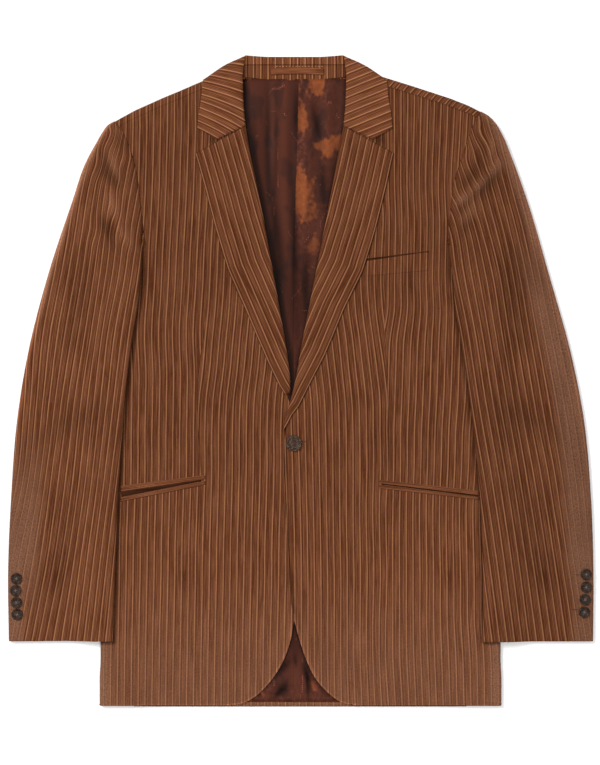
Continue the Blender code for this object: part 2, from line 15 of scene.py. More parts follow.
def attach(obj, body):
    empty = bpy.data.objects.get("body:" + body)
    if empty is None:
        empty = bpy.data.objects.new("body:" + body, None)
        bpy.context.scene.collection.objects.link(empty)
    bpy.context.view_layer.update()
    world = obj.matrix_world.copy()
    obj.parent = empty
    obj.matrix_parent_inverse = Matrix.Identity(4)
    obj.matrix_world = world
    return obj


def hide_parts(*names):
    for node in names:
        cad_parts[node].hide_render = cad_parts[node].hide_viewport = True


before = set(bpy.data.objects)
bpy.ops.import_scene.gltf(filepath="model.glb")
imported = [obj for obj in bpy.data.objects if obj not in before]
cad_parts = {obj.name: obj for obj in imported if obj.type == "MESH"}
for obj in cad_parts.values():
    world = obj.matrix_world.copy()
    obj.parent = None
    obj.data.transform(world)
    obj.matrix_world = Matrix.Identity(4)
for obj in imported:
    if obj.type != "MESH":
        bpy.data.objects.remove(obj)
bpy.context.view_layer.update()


# ---------------------------------------------------------------- the back
# Two halves of brown needlecord, sewn together down the centre. They lie flat under
# everything else, and turn up and over each shoulder to a seam forward of its edge.

MM = 0.001
LENGTH = 801.5                  # back hem to the top of the collar
CENTRE = -7.6                   # centre back, neck and closing
SEAM, PLY, CORD = 0.3, 0.6, 1.6     # gap of a sewn seam, air under a lapped layer, the needlecord
AIR = 0.4                           # between layers that lie close
# Height of a front's face at its middle and its side, and what the chest and shoulder add.
FRONT_TOP, SIDE_TOP, CHEST, SHOULDER = 5.2, 7.0, 3.4, 6.0
LAP = CORD + PLY                # how far the left front is raised over the right
SHOULDER_FOLD = 6.0
SEAM_INSET = {"right": 3.0, "left": 3.2}        # shoulder seam, in from the shoulder's edge
COLLAR_LIFT = CORD + AIR
ARMHOLE_GAP = 0.9
SIGN = {"right": -1.0, "left": 1.0}

# A place on an edge; a row of cloth from end to end; a ridge, or a trough with its height below 0.
Edge = namedtuple("Edge", "x up")
Span = namedtuple("Span", "inner_x inner_up outer_x outer_up")
Fold = namedtuple("Fold", "x up to_x to_up width height")
# spare is the cloth past x that a turned edge takes up.
Spot = namedtuple("Spot", "x up z spare", defaults=(0.0,))


def table(kind, *rows):
    """Rows of one kind, from their numbers."""
    return [kind(*row) for row in rows]


ARMHOLE = {
    "right": table(Edge, (-229, 718), (-219, 706), (-212, 692), (-204, 669), (-200, 648), (-196, 618), (-194, 590),
        (-193, 571)),
    "left": table(Edge, (223, 729), (212, 710), (203, 687), (195, 664), (189, 645), (186, 618), (184, 592),
        (182, 571)),
}
NECK_POINT = {"right": Edge(-79, 786), "left": Edge(64, 787)}
BACK_NECK = table(Edge, (CENTRE, 745), (CENTRE, 772), (-18, 787.5), (-42, 787.5), (-62, 787))
SIDE_SEAM = table(Edge, (194, 560), (197, 480), (201, 255), (205, 0))

# How far the padded shoulders stand above a straight line, by their distance across.
SHOULDER_RISE = {
    "right": table(Edge, (0, -252), (0.6, -244), (1.6, -236), (2.8, -228), (5.2, -204), (5.0, -169), (4.0, -148),
        (3.4, -120), (1.9, -79), (0, -55)),
    "left": table(Edge, (0, 40), (0.4, 64), (2.7, 104), (4.8, 141), (6.6, 185), (6.0, 206), (4.2, 220), (3.0, 226),
        (2.0, 232), (0.6, 242), (0, 250)),
}


def blend(start, end, share):
    return start + (end - start) * share


def between(start, end, share):
    """A row part of the way from one row to another."""
    return type(start)(*(blend(a, b, share) for a, b in zip(start, end)))


def ease(start, end, value):
    """0 before start, 1 after end, smooth between; start may be above end."""
    share = min(max((value - start) / (end - start), 0.0), 1.0)
    return share * share * (3.0 - 2.0 * share)


def hill(distance, reach):
    return math.cos(min(abs(distance) / reach, 1.0) * math.pi / 2.0) ** 2


def even(count, first=0.0, last=1.0):
    return [blend(first, last, k / count) for k in range(count + 1)]


def finer(rows, spacing):
    """Rows of a table joined by a smooth curve, with new rows about so many millimetres apart."""
    gaps = [max(abs(b - a) for a, b in zip(low, high)) for low, high in zip(rows, rows[1:])]

    def slope(i, k):
        if i in (0, len(gaps)):
            near = min(i, len(gaps) - 1)
            return (rows[near + 1][k] - rows[near][k]) / gaps[near]
        before, after = gaps[i - 1], gaps[i]
        return ((rows[i][k] - rows[i - 1][k]) / before * after
                + (rows[i + 1][k] - rows[i][k]) / after * before) / (before + after)

    fine = []
    for i, gap in enumerate(gaps):
        steps = max(1, round(gap / spacing))
        for step in range(steps):
            t = step / steps
            fine.append(tuple(
                (2 * t ** 3 - 3 * t ** 2 + 1) * rows[i][k] + (3 * t ** 2 - 2 * t ** 3) * rows[i + 1][k]
                + gap * ((t ** 3 - 2 * t ** 2 + t) * slope(i, k) + (t ** 3 - t ** 2) * slope(i + 1, k))
                for k in range(len(rows[i]))))
    fine.append(tuple(rows[-1]))
    make = getattr(type(rows[0]), "_make", tuple)
    return [make(row) for row in fine]


def run_of(line):
    return sum(math.dist(a, b) for a, b in zip(line, line[1:]))


def point_along(line, share):
    """The point at a share of the length of a line of edge points."""
    lengths = [math.dist(a, b) for a, b in zip(line, line[1:])]
    left = share * sum(lengths)
    for start, end, length in zip(line, line[1:], lengths):
        if left <= length:
            return between(start, end, left / length)
        left -= length
    return Edge(*line[-1])


def x_at(line, up):
    """x of a line of edge points at a height."""
    rows = sorted(line, key=lambda row: row[1])
    for low, high in zip(rows, rows[1:]):
        if up <= high[1]:
            return blend(low[0], high[0], max(up - low[1], 0.0) / (high[1] - low[1]))
    return rows[-1][0]


def side_of(x):
    return "right" if x < CENTRE else "left"


def shoulder_ends(side):
    """Neck end and sleeve end of the shoulder's edge, and the way square to it, down the body."""
    neck, end = Vector(NECK_POINT[side]), Vector(ARMHOLE[side][0])
    square = (end - neck).orthogonal().normalized()
    return neck, end, -square if square.y > 0 else square


def below_shoulder(x, up):
    neck, end, down = shoulder_ends(side_of(x))
    return (Vector((x, up)) - neck).dot(down)


def rounded_shoulder(x, up):
    return up + x_at(SHOULDER_RISE[side_of(x)], x) * ease(70, 8, below_shoulder(x, up))


def yoke_line(side, reach):
    """Ends of a line that runs with the shoulder, at a distance down the body."""
    neck, end, down = shoulder_ends(side)
    armhole = armholes[side]
    start = (Vector(armhole[1]) - Vector(armhole[0])).normalized()
    return neck + down * reach, Vector(point_along(armhole, reach / start.dot(down) / run_of(armhole)))


def crease(x, up, folds):
    """Soft ridges and troughs, each along a short line and fading at its ends."""
    height, point = 0.0, Vector((x, up))
    for fold in folds:
        start = Vector((fold.x, fold.up))
        run = Vector((fold.to_x, fold.to_up)) - start
        share = (point - start).dot(run) / run.length_squared
        if -0.25 < share < 1.25:
            away = (point - start - run * min(max(share, 0.0), 1.0)).length / fold.width
            if away < 3.0:
                height += fold.height * hill(share - 0.5, 0.75) * math.exp(-away * away)
    return height


FRONT_FOLDS = table(Fold, (-70, 300, -150, 345, 22, 0.8), (-40, 330, -110, 420, 16, -0.6),
    (-160, 470, -182, 300, 14, 0.7), (-176, 560, -150, 420, 12, -0.7), (-150, 590, -120, 500, 18, 0.6),
    (-60, 250, -70, 60, 20, 0.6), (-150, 240, -160, 70, 24, 0.7), (-105, 200, -108, 40, 14, -0.5),
    (40, 320, 120, 350, 20, 0.7), (30, 350, 80, 440, 16, -0.6), (150, 480, 178, 320, 14, 0.7),
    (168, 570, 140, 430, 12, -0.7), (60, 240, 66, 50, 22, 0.6), (150, 230, 152, 50, 20, 0.7),
    (108, 210, 104, 30, 14, -0.5), (-180, 690, -120, 600, 26, 0.7), (176, 700, 120, 640, 24, 0.7))


def front_top(x, up, side):
    """Face of a front: full at the chest, high at the shoulder, raised where it laps."""
    height = FRONT_TOP + (SIDE_TOP - FRONT_TOP) * ease(150, 215, abs(x)) * ease(600, 560, up)
    height += CHEST * hill(abs(x - CENTRE) - 105, 95) * hill(up - 560, 150)
    height += SHOULDER * ease(100, 6, below_shoulder(x, up))
    if side == "left":
        height += LAP * ease(72, 22, x)
    return height + crease(x, up, FRONT_FOLDS)


def back_lift(x, up):
    """The back lies on the floor, but over the collar where that is turned down behind it."""
    return COLLAR_LIFT * ease(695, 742, up) * ease(168, 124, abs(x - CENTRE))


def place(x, up, z):
    return Vector((x, up - LENGTH / 2.0, z)) * MM


class Wire:
    """A socket in a finish's nodes, which sums and products can be written on."""

    def __init__(self, finish, socket):
        self.finish, self.socket = finish, socket

    def math(self, operation, *others):
        return self.finish.node("ShaderNodeMath", {"operation": operation}, dict(enumerate((self, *others))))

    def __add__(self, other):
        return self.math("ADD", other)

    def __mul__(self, other):
        return self.math("MULTIPLY", other)

    def __sub__(self, other):
        return self.math("SUBTRACT", other)

    def __rsub__(self, other):
        return self.math("MULTIPLY", -1.0).math("ADD", other)

    def __truediv__(self, other):
        return self.math("DIVIDE", other)

    __radd__, __rmul__ = __add__, __mul__

    def __abs__(self):
        return self.math("ABSOLUTE")

    def cycle(self):
        """From -0.5 to 0.5, over and over, with 0 at each whole number."""
        return (self + 0.5).math("FRACT") - 0.5

    def rise(self, low, high):
        """0 up to low, 1 from high, smooth between."""
        return self.finish.node("ShaderNodeMapRange", {"interpolation_type": "SMOOTHSTEP"},
                                {"Value": self, "From Min": low, "From Max": high})


class Finish:
    """A material, with its nodes made one call at a time."""

    def __init__(self, name, **constants):
        self.material = bpy.data.materials.new(name)
        self.material.use_nodes = True
        self.tree = self.material.node_tree
        self.shader = self.tree.nodes["Principled BSDF"]
        for socket, value in constants.items():
            self.shader.inputs[socket.replace("_", " ")].default_value = value

    def node(self, kind, settings, sockets, out=0):
        made = self.tree.nodes.new(kind)
        for setting, value in settings.items():
            setattr(made, setting, value)
        for key, value in sockets.items():
            self.join(made.inputs[key], value)
        return Wire(self, made.outputs[out])

    def join(self, socket, value):
        if isinstance(value, Wire):
            self.tree.links.new(value.socket, socket)
        else:
            socket.default_value = value

    def noise(self, where, scale=1.0, detail=2.0, roughness=0.5):
        """Noise from 0 to 1 with a mean of 0.5."""
        return self.node("ShaderNodeTexNoise", {"noise_dimensions": "3D"},
                         {"Vector": where, "Scale": scale, "Detail": detail, "Roughness": roughness})

    def spread(self, across, along):
        """A place to read noise at, from two lengths counted in units of their own."""
        return self.node("ShaderNodeCombineXYZ", {}, {0: across, 1: along, 2: 0.0})

    def cloud(self, across, along, detail=2.0, roughness=0.5):
        return self.noise(self.spread(across, along), 1.0, detail, roughness)

    def place(self):
        return self.node("ShaderNodeTexCoord", {}, {}, out="Object")

    def lengths(self, where):
        """The first two parts of a place, in millimetres."""
        parts = self.node("ShaderNodeSeparateXYZ", {}, {0: where}).socket.node.outputs
        return Wire(self, parts[0]) * 1000.0, Wire(self, parts[1]) * 1000.0

    def mix(self, share, low, high):
        low, high = ((*c, 1.0) if isinstance(c, tuple) and len(c) == 3 else c for c in (low, high))
        return self.node("ShaderNodeMix", {"data_type": "RGBA", "clamp_factor": True},
                         {0: share, 6: low, 7: high}, out=2)

    def scaled(self, colour, share):
        return self.node("ShaderNodeVectorMath", {"operation": "SCALE"}, {0: colour, "Scale": share})

    def paint(self, name):
        """A value that is painted on the cloth's own points."""
        return self.node("ShaderNodeAttribute", {"attribute_type": "GEOMETRY", "attribute_name": name}, {},
                         out="Fac")

    def finish(self, colour, roughness, height, strength, distance):
        bump = self.node("ShaderNodeBump", {}, {"Strength": strength, "Distance": distance, "Height": height})
        self.join(self.shader.inputs["Base Color"], colour)
        self.join(self.shader.inputs["Roughness"], roughness)
        self.join(self.shader.inputs["Normal"], bump)
        return self.material


PERIOD = 8.4            # one light wale and four brown ones
BODY_STRIPES = 8.52     # how far apart the light wales lie across the body


def needlecord(name, light=1.0):
    """Cotton needlecord: five fine wales to a period, one of them light with a dark line on each
    side, under a short pile that is brushed, and faded by wear in places. Painted shade deepens
    its grooves and one side of each light wale, and painted highlights pale it on some folds."""
    cord = Finish(name, Sheen_Weight=0.03, Sheen_Roughness=0.45, Sheen_Tint=(0.6, 0.33, 0.18, 1.0),
                  Specular_IOR_Level=0.02)
    across, along = cord.lengths(cord.node("ShaderNodeUVMap", {"uv_map": "grain"}, {}))
    # Two paints on its points: one mixes in faded pile and painted highlights, the other scales its colour with
    # painted light and shade.
    wear_print_and_highlight, painted_light_and_tone = cord.paint("wear_print_and_highlight"), cord.paint("painted_light_and_tone")

    wander = cord.cloud(across / 40.0, along / 120.0) - 0.5
    shiver = cord.cloud(across / 6.0, along / 16.0) - 0.5
    across = across + wander * 1.2 + shiver * 0.5
    wale_wide = PERIOD / 5.0
    run = (across / PERIOD).cycle()
    away = abs(run)
    light_wale = 1.0 - away.rise(0.05, 0.135)
    # Dark lines either side of the light wale; the one on its right is deeper, a painted shade as if the raised
    # wale shaded it.
    beside = away.rise(0.09, 0.13) * (1.0 - away.rise(0.17, 0.27)) * (0.8 + run * 2.2)
    groove = abs((across / wale_wide).cycle()).rise(0.26, 0.5)

    wale = (across / wale_wide + 0.5).math("FLOOR")
    own = cord.cloud(wale * 7.31, along / 60.0, 2.0, 0.6)
    pile = cord.cloud(across / 0.6, along / 1.6, 3.0, 0.6)
    fleck = cord.cloud(across / 1.3, along / 6.0, 3.0, 0.6)
    patch = cord.cloud(across / 30.0, along / 46.0, 3.0, 0.55)
    hue = cord.cloud(across / 8.0 + 5.0, along / 12.0, 2.0, 0.55)

    pair = cord.cloud(across / 2.3 + 40.0, along / 55.0, 1.0)
    base = cord.mix((own - 0.5) * 3.0 + (pair - 0.5) * 1.9 + 0.53,
                    (0.084, 0.0228, 0.0076), (0.222, 0.0825, 0.0365))
    base = cord.mix(hue.rise(0.4, 0.62) * 0.4, base, (0.16, 0.053, 0.0265))
    base = cord.mix((1.0 - hue.rise(0.36, 0.5)) * 0.35, base, (0.128, 0.048, 0.0165))
    # Painted shade in the grooves between the wales.
    base = cord.mix(groove * (0.58 + fleck * 0.9), base, (0.05, 0.0122, 0.0034))
    base = cord.mix(beside * light * 0.85, base, (0.056, 0.014, 0.0045))
    # No two light wales are quite alike.
    period = (across / PERIOD + 0.5).math("FLOOR")
    stripe = cord.cloud(period * 5.17, along / 90.0 + 7.0, 1.0)
    glow = light_wale * light * (0.88 + (fleck - 0.5) * 0.9 + (stripe - 0.5) * 0.6)
    pale = cord.mix(hue.rise(0.42, 0.58), (0.292, 0.129, 0.055), (0.285, 0.115, 0.064))
    base = cord.mix(glow * (1.0 - wear_print_and_highlight * 0.4), base, pale)
    # Paler and greyer where the pile is faded by wear, and where a painted highlight lies on a fold.
    speck = cord.cloud(across / 1.7, along / 2.3, 2.0, 0.7)
    rubbed_and_highlit = cord.mix((speck - 0.5) * 2.6 + 0.5, (0.115, 0.0475, 0.0245), (0.292, 0.153, 0.097))
    base = cord.mix(wear_print_and_highlight * 0.62, base, rubbed_and_highlit)
    shade = painted_light_and_tone * (0.58 + pile * 0.3 + patch * 0.34)
    height = (1.0 - groove) * (1.0 - wear_print_and_highlight * 0.5) + pile * 0.55
    return cord.finish(cord.scaled(base, shade), 0.8 + (pile - 0.5) * 0.2, height, 0.55, 0.0004)


corduroy = needlecord("brown needlecord")


def mesh_data(name, mesh):
    data = bpy.data.meshes.new(name)
    mesh.to_mesh(data)
    mesh.free()
    return data


def in_scene(name, data):
    made = bpy.data.objects.new(name, data)
    bpy.context.scene.collection.objects.link(made)
    return made


def shown(name, mesh, finish, slot):
    """Makes a finished mesh an object of the jacket, with its material and its place."""
    data = mesh_data(name, mesh)
    data.shade_smooth()
    data.materials.append(finish)
    piece = in_scene(name, data)
    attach(piece, "root")
    return piece


def cloth(node, spots, grain, finish=corduroy, looks=1, wall=1.3, wear_print_and_highlight=0.0, painted_light_and_tone=1.0, slot="corduroy",
          shoulder=False, stands=True):
    """A piece of cloth from a grid of spots, with its grain laid on as a UV map, that stands for
    a node. Its two paints, each the same all over or given by place, mix in wear, print and
    painted highlights, and scale its colour by painted light and shade; looks is which way
    its outer face looks at its middle, up (1) or down (-1)."""
    rows, columns = len(spots) - 1, len(spots[0]) - 1
    mesh = bmesh.new()
    bmesh.ops.create_grid(mesh, x_segments=columns, y_segments=rows, size=1.0)
    mesh.verts.layers.float.new("wear_print_and_highlight")
    mesh.verts.layers.float.new("painted_light_and_tone")
    paints = [(mesh.verts.layers.float["wear_print_and_highlight"], wear_print_and_highlight), (mesh.verts.layers.float["painted_light_and_tone"], painted_light_and_tone)]
    grain_map = mesh.loops.layers.uv.new("grain")
    at = {}
    for vertex in mesh.verts:
        spot = spots[round((vertex.co.y + 1.0) / 2.0 * rows)][round((vertex.co.x + 1.0) / 2.0 * columns)]
        at[vertex] = spot
        vertex.co = place(spot.x, rounded_shoulder(spot.x, spot.up) if shoulder else spot.up, spot.z)
        for layer, paint in paints:
            vertex[layer] = paint(spot.x, spot.up) if callable(paint) else paint
    for face in mesh.faces:
        corners = [at[loop.vert] for loop in face.loops]
        middle = Edge(sum(c.x for c in corners) / 4.0, sum(c.up for c in corners) / 4.0)
        for loop, corner in zip(face.loops, corners):
            loop[grain_map].uv = Vector(grain(corner.x + corner.spare, corner.up, middle)) * MM
    mesh.normal_update()
    middle = place(*spots[rows // 2][columns // 2][:3])
    nearest = min(mesh.faces, key=lambda face: (face.calc_center_median() - middle).length)
    if nearest.normal.z * looks < 0.0:
        bmesh.ops.reverse_faces(mesh, faces=mesh.faces)
    piece = shown(f"{node}_cloth", mesh, finish, slot)
    thicken = piece.modifiers.new("wall", "SOLIDIFY")
    thicken.thickness, thicken.offset = wall * MM, -1.0
    if stands:
        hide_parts(node)
    # Its flat size: the longest runs over it, and the area of its face, within what a sheet may say.
    area = sum(face.area for face in piece.data.polygons)
    wide, tall = (max(0.01, round(MM * max(run_of([spot[:3] for spot in line]) for line in lines), 3))
                  for lines in (spots, list(zip(*spots))))


armholes = {side: finer(line, 4.0) for side, line in ARMHOLE.items()}


def back_grain(x, up, middle):
    """Upright, and on the right shoulder in line with the stripes of the front."""
    return (x + 188.4) / BODY_STRIPES * PERIOD, up


def back_hem_light(x, up):
    """Painted light at the hem, where it shows between the fronts."""
    return 1.0 + 0.55 * ease(14.0, 8.0, up)


BACK_ROWS = (0.0, 60.0, 150.0, 255.0, 370.0, 480.0, 545.0)     # heights, hem to armhole
BACK_COLUMNS = 34

for side, sign in SIGN.items():
    gap = Vector((sign * ARMHOLE_GAP / 2, 0.0))
    spans = [Span(CENTRE, up, sign * x_at(SIDE_SEAM, up), up) for up in BACK_ROWS]
    shares = even(6, 0.93, 0.22)
    centres = [Edge(CENTRE, up) for up in even(6, 578.0, 720.0)]
    necks = [Edge(CENTRE + (row.x - CENTRE) * -sign, row.up) for row in BACK_NECK]
    shares += even(len(necks), shares[-1], 0.08)[1:]
    for inner, share in zip(centres + necks, shares):
        outer = point_along(armholes[side], share)
        spans.append(Span(inner.x, inner.up, outer.x - gap.x, outer.up))
    spots = []
    for span in finer(spans, 7.0):
        line = []
        for share in even(BACK_COLUMNS):
            x = blend(span.inner_x + sign * SEAM / 2, span.outer_x, share)
            up = blend(span.inner_up, span.outer_up, share)
            line.append(Spot(x, up, back_lift(x, up)))
        spots.append(line)
    # Up and over the shoulder by half a turn, then flat and past its seam.
    seam = SEAM_INSET[side]
    turns = [(math.radians(angle), 0.0) for angle in range(0, 181, 12)]
    turns += [(math.pi, (seam + 0.3) * share) for share in (0.35, 0.7, 0.9, 1.0)]
    # The left shoulder shows the back's cloth folded over, so its stripes run on mirrored there.
    mirrored = -2.0 * shoulder_ends(side)[2].x if side == "left" else 0.0
    for angle, past in turns:
        inner, outer = yoke_line(side, SHOULDER_FOLD * (1.0 - math.sin(angle)) + past)
        base_in, base_out = yoke_line(side, SHOULDER_FOLD + past)
        over = SHOULDER_FOLD * max(angle - math.pi / 2.0, 0.0) + past
        line = []
        for share in even(BACK_COLUMNS):
            spot = inner.lerp(outer - gap, share)
            base = base_in.lerp(base_out, share)
            floor = back_lift(base.x, base.y)
            rise = (1.0 - math.cos(angle)) / 2.0 * (front_top(base.x, base.y, "right") - floor)
            tucked = 0.5 * ease(seam - (0.9 if side == "left" else 0.1), seam + 0.3, past)
            line.append(Spot(spot.x, spot.y, floor + rise - tucked, mirrored * over))
        spots.append(line)
    cloth(f"back_{side}", spots, back_grain, looks=-1, shoulder=True, painted_light_and_tone=back_hem_light,
          wear_print_and_highlight=lambda x, up: 0.5 * ease(14.0, 8.0, up))


# ---------------------------------------------------------------- the side panels
# A narrow panel under each arm. It joins the front at the side fold and runs round
# underneath, where it is sewn to the back.

SKIRT = {
    "right": table(Span, (-34, 543, -233, 541), (-27, 501, -234, 500), (-15, 434, -236, 432),
        (-11, 380, -238, 376), (0, 347, -239, 345), (14, 318, -240, 315), (14, 262, -242, 258),
        (7, 188, -244, 184), (-7, 110, -246, 108), (-12, 81, -246, 80), (-21, 56, -246, 56), (-33, 36, -247, 37),
        (-50, 17, -247, 18), (-69, 5, -247, 7), (-90, 2, -247, 2)),
    "left": table(Span, (20, 543, 233, 541), (12, 501, 234, 500), (0, 434, 236, 432), (-12, 378, 238, 374),
        (-21, 343, 239, 342), (-20, 317, 240, 315), (-18, 262, 242, 258), (-14, 188, 244, 184),
        (-8, 110, 246, 108), (0, 80, 247, 80), (8, 57, 247, 56), (19, 35, 248, 37), (34, 18, 248, 18),
        (50, 6, 248, 7), (68, 2, 248, 2)),
}
SIDE_FOLD = 4.0
SIDE_WRAP = 0.8         # cloth that the side fold takes up for each millimetre it drops
# Angles of a quarter turn, from the silhouette inwards, without its end.
TURNS = [math.radians(15.0 * k) for k in range(6)]


def rolled(reach, drop):
    """How far in and how far down each step of a quarter turn lies."""
    return [(reach * (1.0 - math.cos(angle)), drop * (1.0 - math.sin(angle))) for angle in TURNS]


for side, sign in SIGN.items():
    spots = []
    for row in finer(SKIRT[side], 6.0):
        seam = sign * (x_at(SIDE_SEAM, row.outer_up) + SEAM)
        line = []
        for reach, z in rolled(SIDE_FOLD, SIDE_TOP / 2.0 - SEAM):
            line.append(Spot(row.outer_x - sign * reach, row.outer_up, z, sign * z * SIDE_WRAP))
        for share in even(10):
            line.append(Spot(blend(row.outer_x - sign * SIDE_FOLD, seam, share), row.outer_up, 0.0))
        spots.append(line)
    cloth(f"side_panel_{side}", spots, back_grain, looks=-1)


# ---------------------------------------------------------------- the back's lining
# Dark brown satin in two halves with a pleat down the centre, sewn in just above the
# hem. It shows in the neck and between the cutaway fronts, with soft upright folds.

SATIN = 1.0
LINING_EDGE = table(Edge, (192, 6), (190, 255), (182, 480), (172, 560), (168, 640), (144, 700), (130, 721),
    (110, 745), (82, 773.5))
PLEAT = table(Edge, (-1.5, 774), (-4.0, 680), (-6.4, 587), (CENTRE, 450), (CENTRE, 6))
LINING_FOLDS = table(Fold, (-58, 772, -55, 640, 6, 1.4), (-41, 778, -43, 600, 5, -1.3),
    (-27, 775, -30, 560, 8, 1.7), (-12, 775, -12, 560, 5, -1.3), (8, 775, 4, 560, 7, 0.9),
    (22, 760, 19, 600, 6, -0.9), (34, 775, 30, 640, 6, 1.0), (47, 775, 43, 690, 5, -1.2),
    (-24, 560, -12, 420, 6, 1.0), (14, 600, 4, 470, 6, -0.8), (-33, 640, -22, 480, 5, -1.3),
    (10.5, 60, 11.5, 4, 2.6, -1.2), (-34, 8, -10, 34, 4.0, -1.3), (-3, 66, -6, 14, 6, 1.3),
    (22, 40, 28, 6, 5, 0.6), (-3, 70, -5, 50, 2.5, -1.0), (-46, 10, -36, 26, 4, 0.8))


def satin(name):
    """Viscose satin, dark brown, with cloudy rust patches of no set shape."""
    lining = Finish(name, Specular_IOR_Level=0.04)
    x, y = lining.lengths(lining.place())
    # Its colour is scaled by painted light and shade from its points, and its rust print is placed by paint.
    painted_light_and_tone, rust = lining.paint("painted_light_and_tone"), lining.paint("wear_print_and_highlight")
    cloud = lining.cloud(x / 34.0 + 3.1, y / 52.0, 3.0, 0.55)
    mottle = lining.cloud(x / 5.0, y / 7.0, 3.0, 0.6)
    patch = (cloud + mottle * 0.12 + rust * 0.16).rise(0.66, 0.76) * (0.25 + mottle * 0.9)
    dots = lining.node("ShaderNodeTexVoronoi", {"voronoi_dimensions": "2D"},
                       {"Vector": lining.spread(x / 2.5, y / 2.5), "Scale": 1.0, "Randomness": 0.3})
    line = lining.cloud(x / 30.0 + 9.0, y / 42.0, 0.0)
    some = lining.cloud(x / 13.0, y / 17.0 + 3.0, 0.0)
    spots = (1.0 - dots.rise(0.2, 0.45)) * (1.0 - abs(line - 0.46).rise(0.008, 0.016)) * some.rise(0.52, 0.57)
    weave = lining.cloud(x / 0.35, y / 2.6)
    colour = lining.mix(weave, (0.05, 0.0135, 0.0075), (0.076, 0.022, 0.0125))
    colour = lining.mix(rust * mottle.rise(0.4, 0.7) * 0.6, colour, (0.16, 0.05, 0.032))
    deep = lining.cloud(x / 18.0 + 2.0, y / 40.0 + 5.0)
    colour = lining.mix(deep.rise(0.5, 0.62) * 0.55, colour, (0.026, 0.011, 0.0095))
    colour = lining.mix(patch * rust.rise(0.0, 0.4), colour, (0.25, 0.066, 0.0195))
    colour = lining.mix(spots * 0.6, colour, (0.27, 0.07, 0.038))
    return lining.finish(lining.scaled(colour, painted_light_and_tone), 0.42 + weave * 0.12, weave, 0.2, 0.0002)


lining_satin = satin("brown satin")

ROLL_LINES = {
    "right": table(Edge, (-9, 385), (-14, 437), (-23, 490), (-36, 563), (-46, 618), (-57, 671), (-65, 714),
        (-68, 741), (-70, 780)),
    "left": table(Edge, (-9, 385), (2, 437), (13, 494), (26, 560), (37, 618), (47, 671), (54, 714), (55, 741),
        (57, 780)),
}
# Where the satin is deepest in shade: down its folds, and under the fronts' cutaway edges.
LINING_SHADE = table(Fold, (-40, 768, -39.6, 622, 3.2, 0.55), (-29.8, 762, -30, 640, 2.6, 0.4),
    (-60, 750, -52, 640, 4.4, 0.5), (-37, 680, -31, 575, 7, 0.55), (-30, 610, -17, 470, 9, 0.7),
    (-4.6, 772, -5.6, 690, 5, 0.7), (-8, 690, -6.5, 455, 4.6, 0.75), (14, 746, 26, 690, 5, 0.7),
    (26, 690, 30, 600, 5, 0.65), (44, 700, 37, 610, 5, 0.45), (8, 565, 6, 470, 6, 0.7),
    (-34.7, 11.7, -12.5, 27, 5.4, 0.95), (-30, 37, -11, 60, 4.2, 0.8), (3, 57, 14, 18, 3.4, 0.8),
    (-7.5, 66, -4.5, 47, 2, 0.6), (9, 40, 9.6, 5, 2, 0.6), (19, 36, 34, 12, 3.4, 0.5))
MID_HEIGHT = 300.0      # above it the satin shows in the neck, below it at the hem


def inner_edge(rows):
    return [Edge(row.inner_x, row.inner_up) for row in rows]


def away_from(line, x, up):
    """Distance from a line of edge points."""
    point, best = Vector((x, up)), 1e9
    for low, high in zip(line, line[1:]):
        start, run = Vector(low), Vector(high) - Vector(low)
        share = min(max((point - start).dot(run) / run.length_squared, 0.0), 1.0)
        best = min(best, (point - start - run * share).length)
    return best


CUTAWAY = {side: inner_edge(rows) for side, rows in SKIRT.items()}


def lining_light_and_shade(x, up):
    """Painted light and shade: light on its folds' ridges and dark in their hollows, dark beside
    the pleat, under the lapels' roll, low in the neck and along the fronts' cutaway edges, and a
    painted highlight down its right half by the pleat.
    """
    depth = crease(x, up, LINING_FOLDS)
    painted_light_and_tone = 0.96 + 0.16 * max(min(depth, 1.0), -1.4) + 0.3 * hill(x + 19.0, 9.0) * ease(300, 400, up)
    shade = min(crease(x, up, LINING_SHADE), 0.86)
    if up > MID_HEIGHT:
        if x_at(PLEAT, up) < x < 10.0:
            shade *= 1.0 - 0.55 * ease(590, 660, up)
        inside = abs(x - x_at(ROLL_LINES[side_of(x)], up))
        painted_light_and_tone *= 1.0 - (0.8 * ease(8.0, 1.0, inside) if x < CENTRE else 0.5 * ease(7.0, 0.5, inside))
        painted_light_and_tone *= 1.0 - 0.2 * ease(560, 430, up)
    else:
        edge = away_from(CUTAWAY[side_of(x)], x, up)
        painted_light_and_tone *= (1.15 - 0.5 * ease(40, 85, up)) * (1.0 - 0.75 * ease(3.2, 0.6, edge))
    return painted_light_and_tone * (1.0 - shade)


def lining_rust(x, up):
    """Where the rust of the weave shows: on the left of the pleat, and at the hem."""
    if up > MID_HEIGHT:
        beside = x - x_at(PLEAT, up)
        much = 0.25 + 0.75 * max(ease(14, 6, beside) * ease(560, 600, up),
                                 ease(740, 755, up) * ease(40, 28, beside),
                                 hill(math.dist((x, up), (36, 694)), 20.0))
        return ease(-1.0, 0.5, beside) * much
    return 0.5 * ease(48, 12, up)


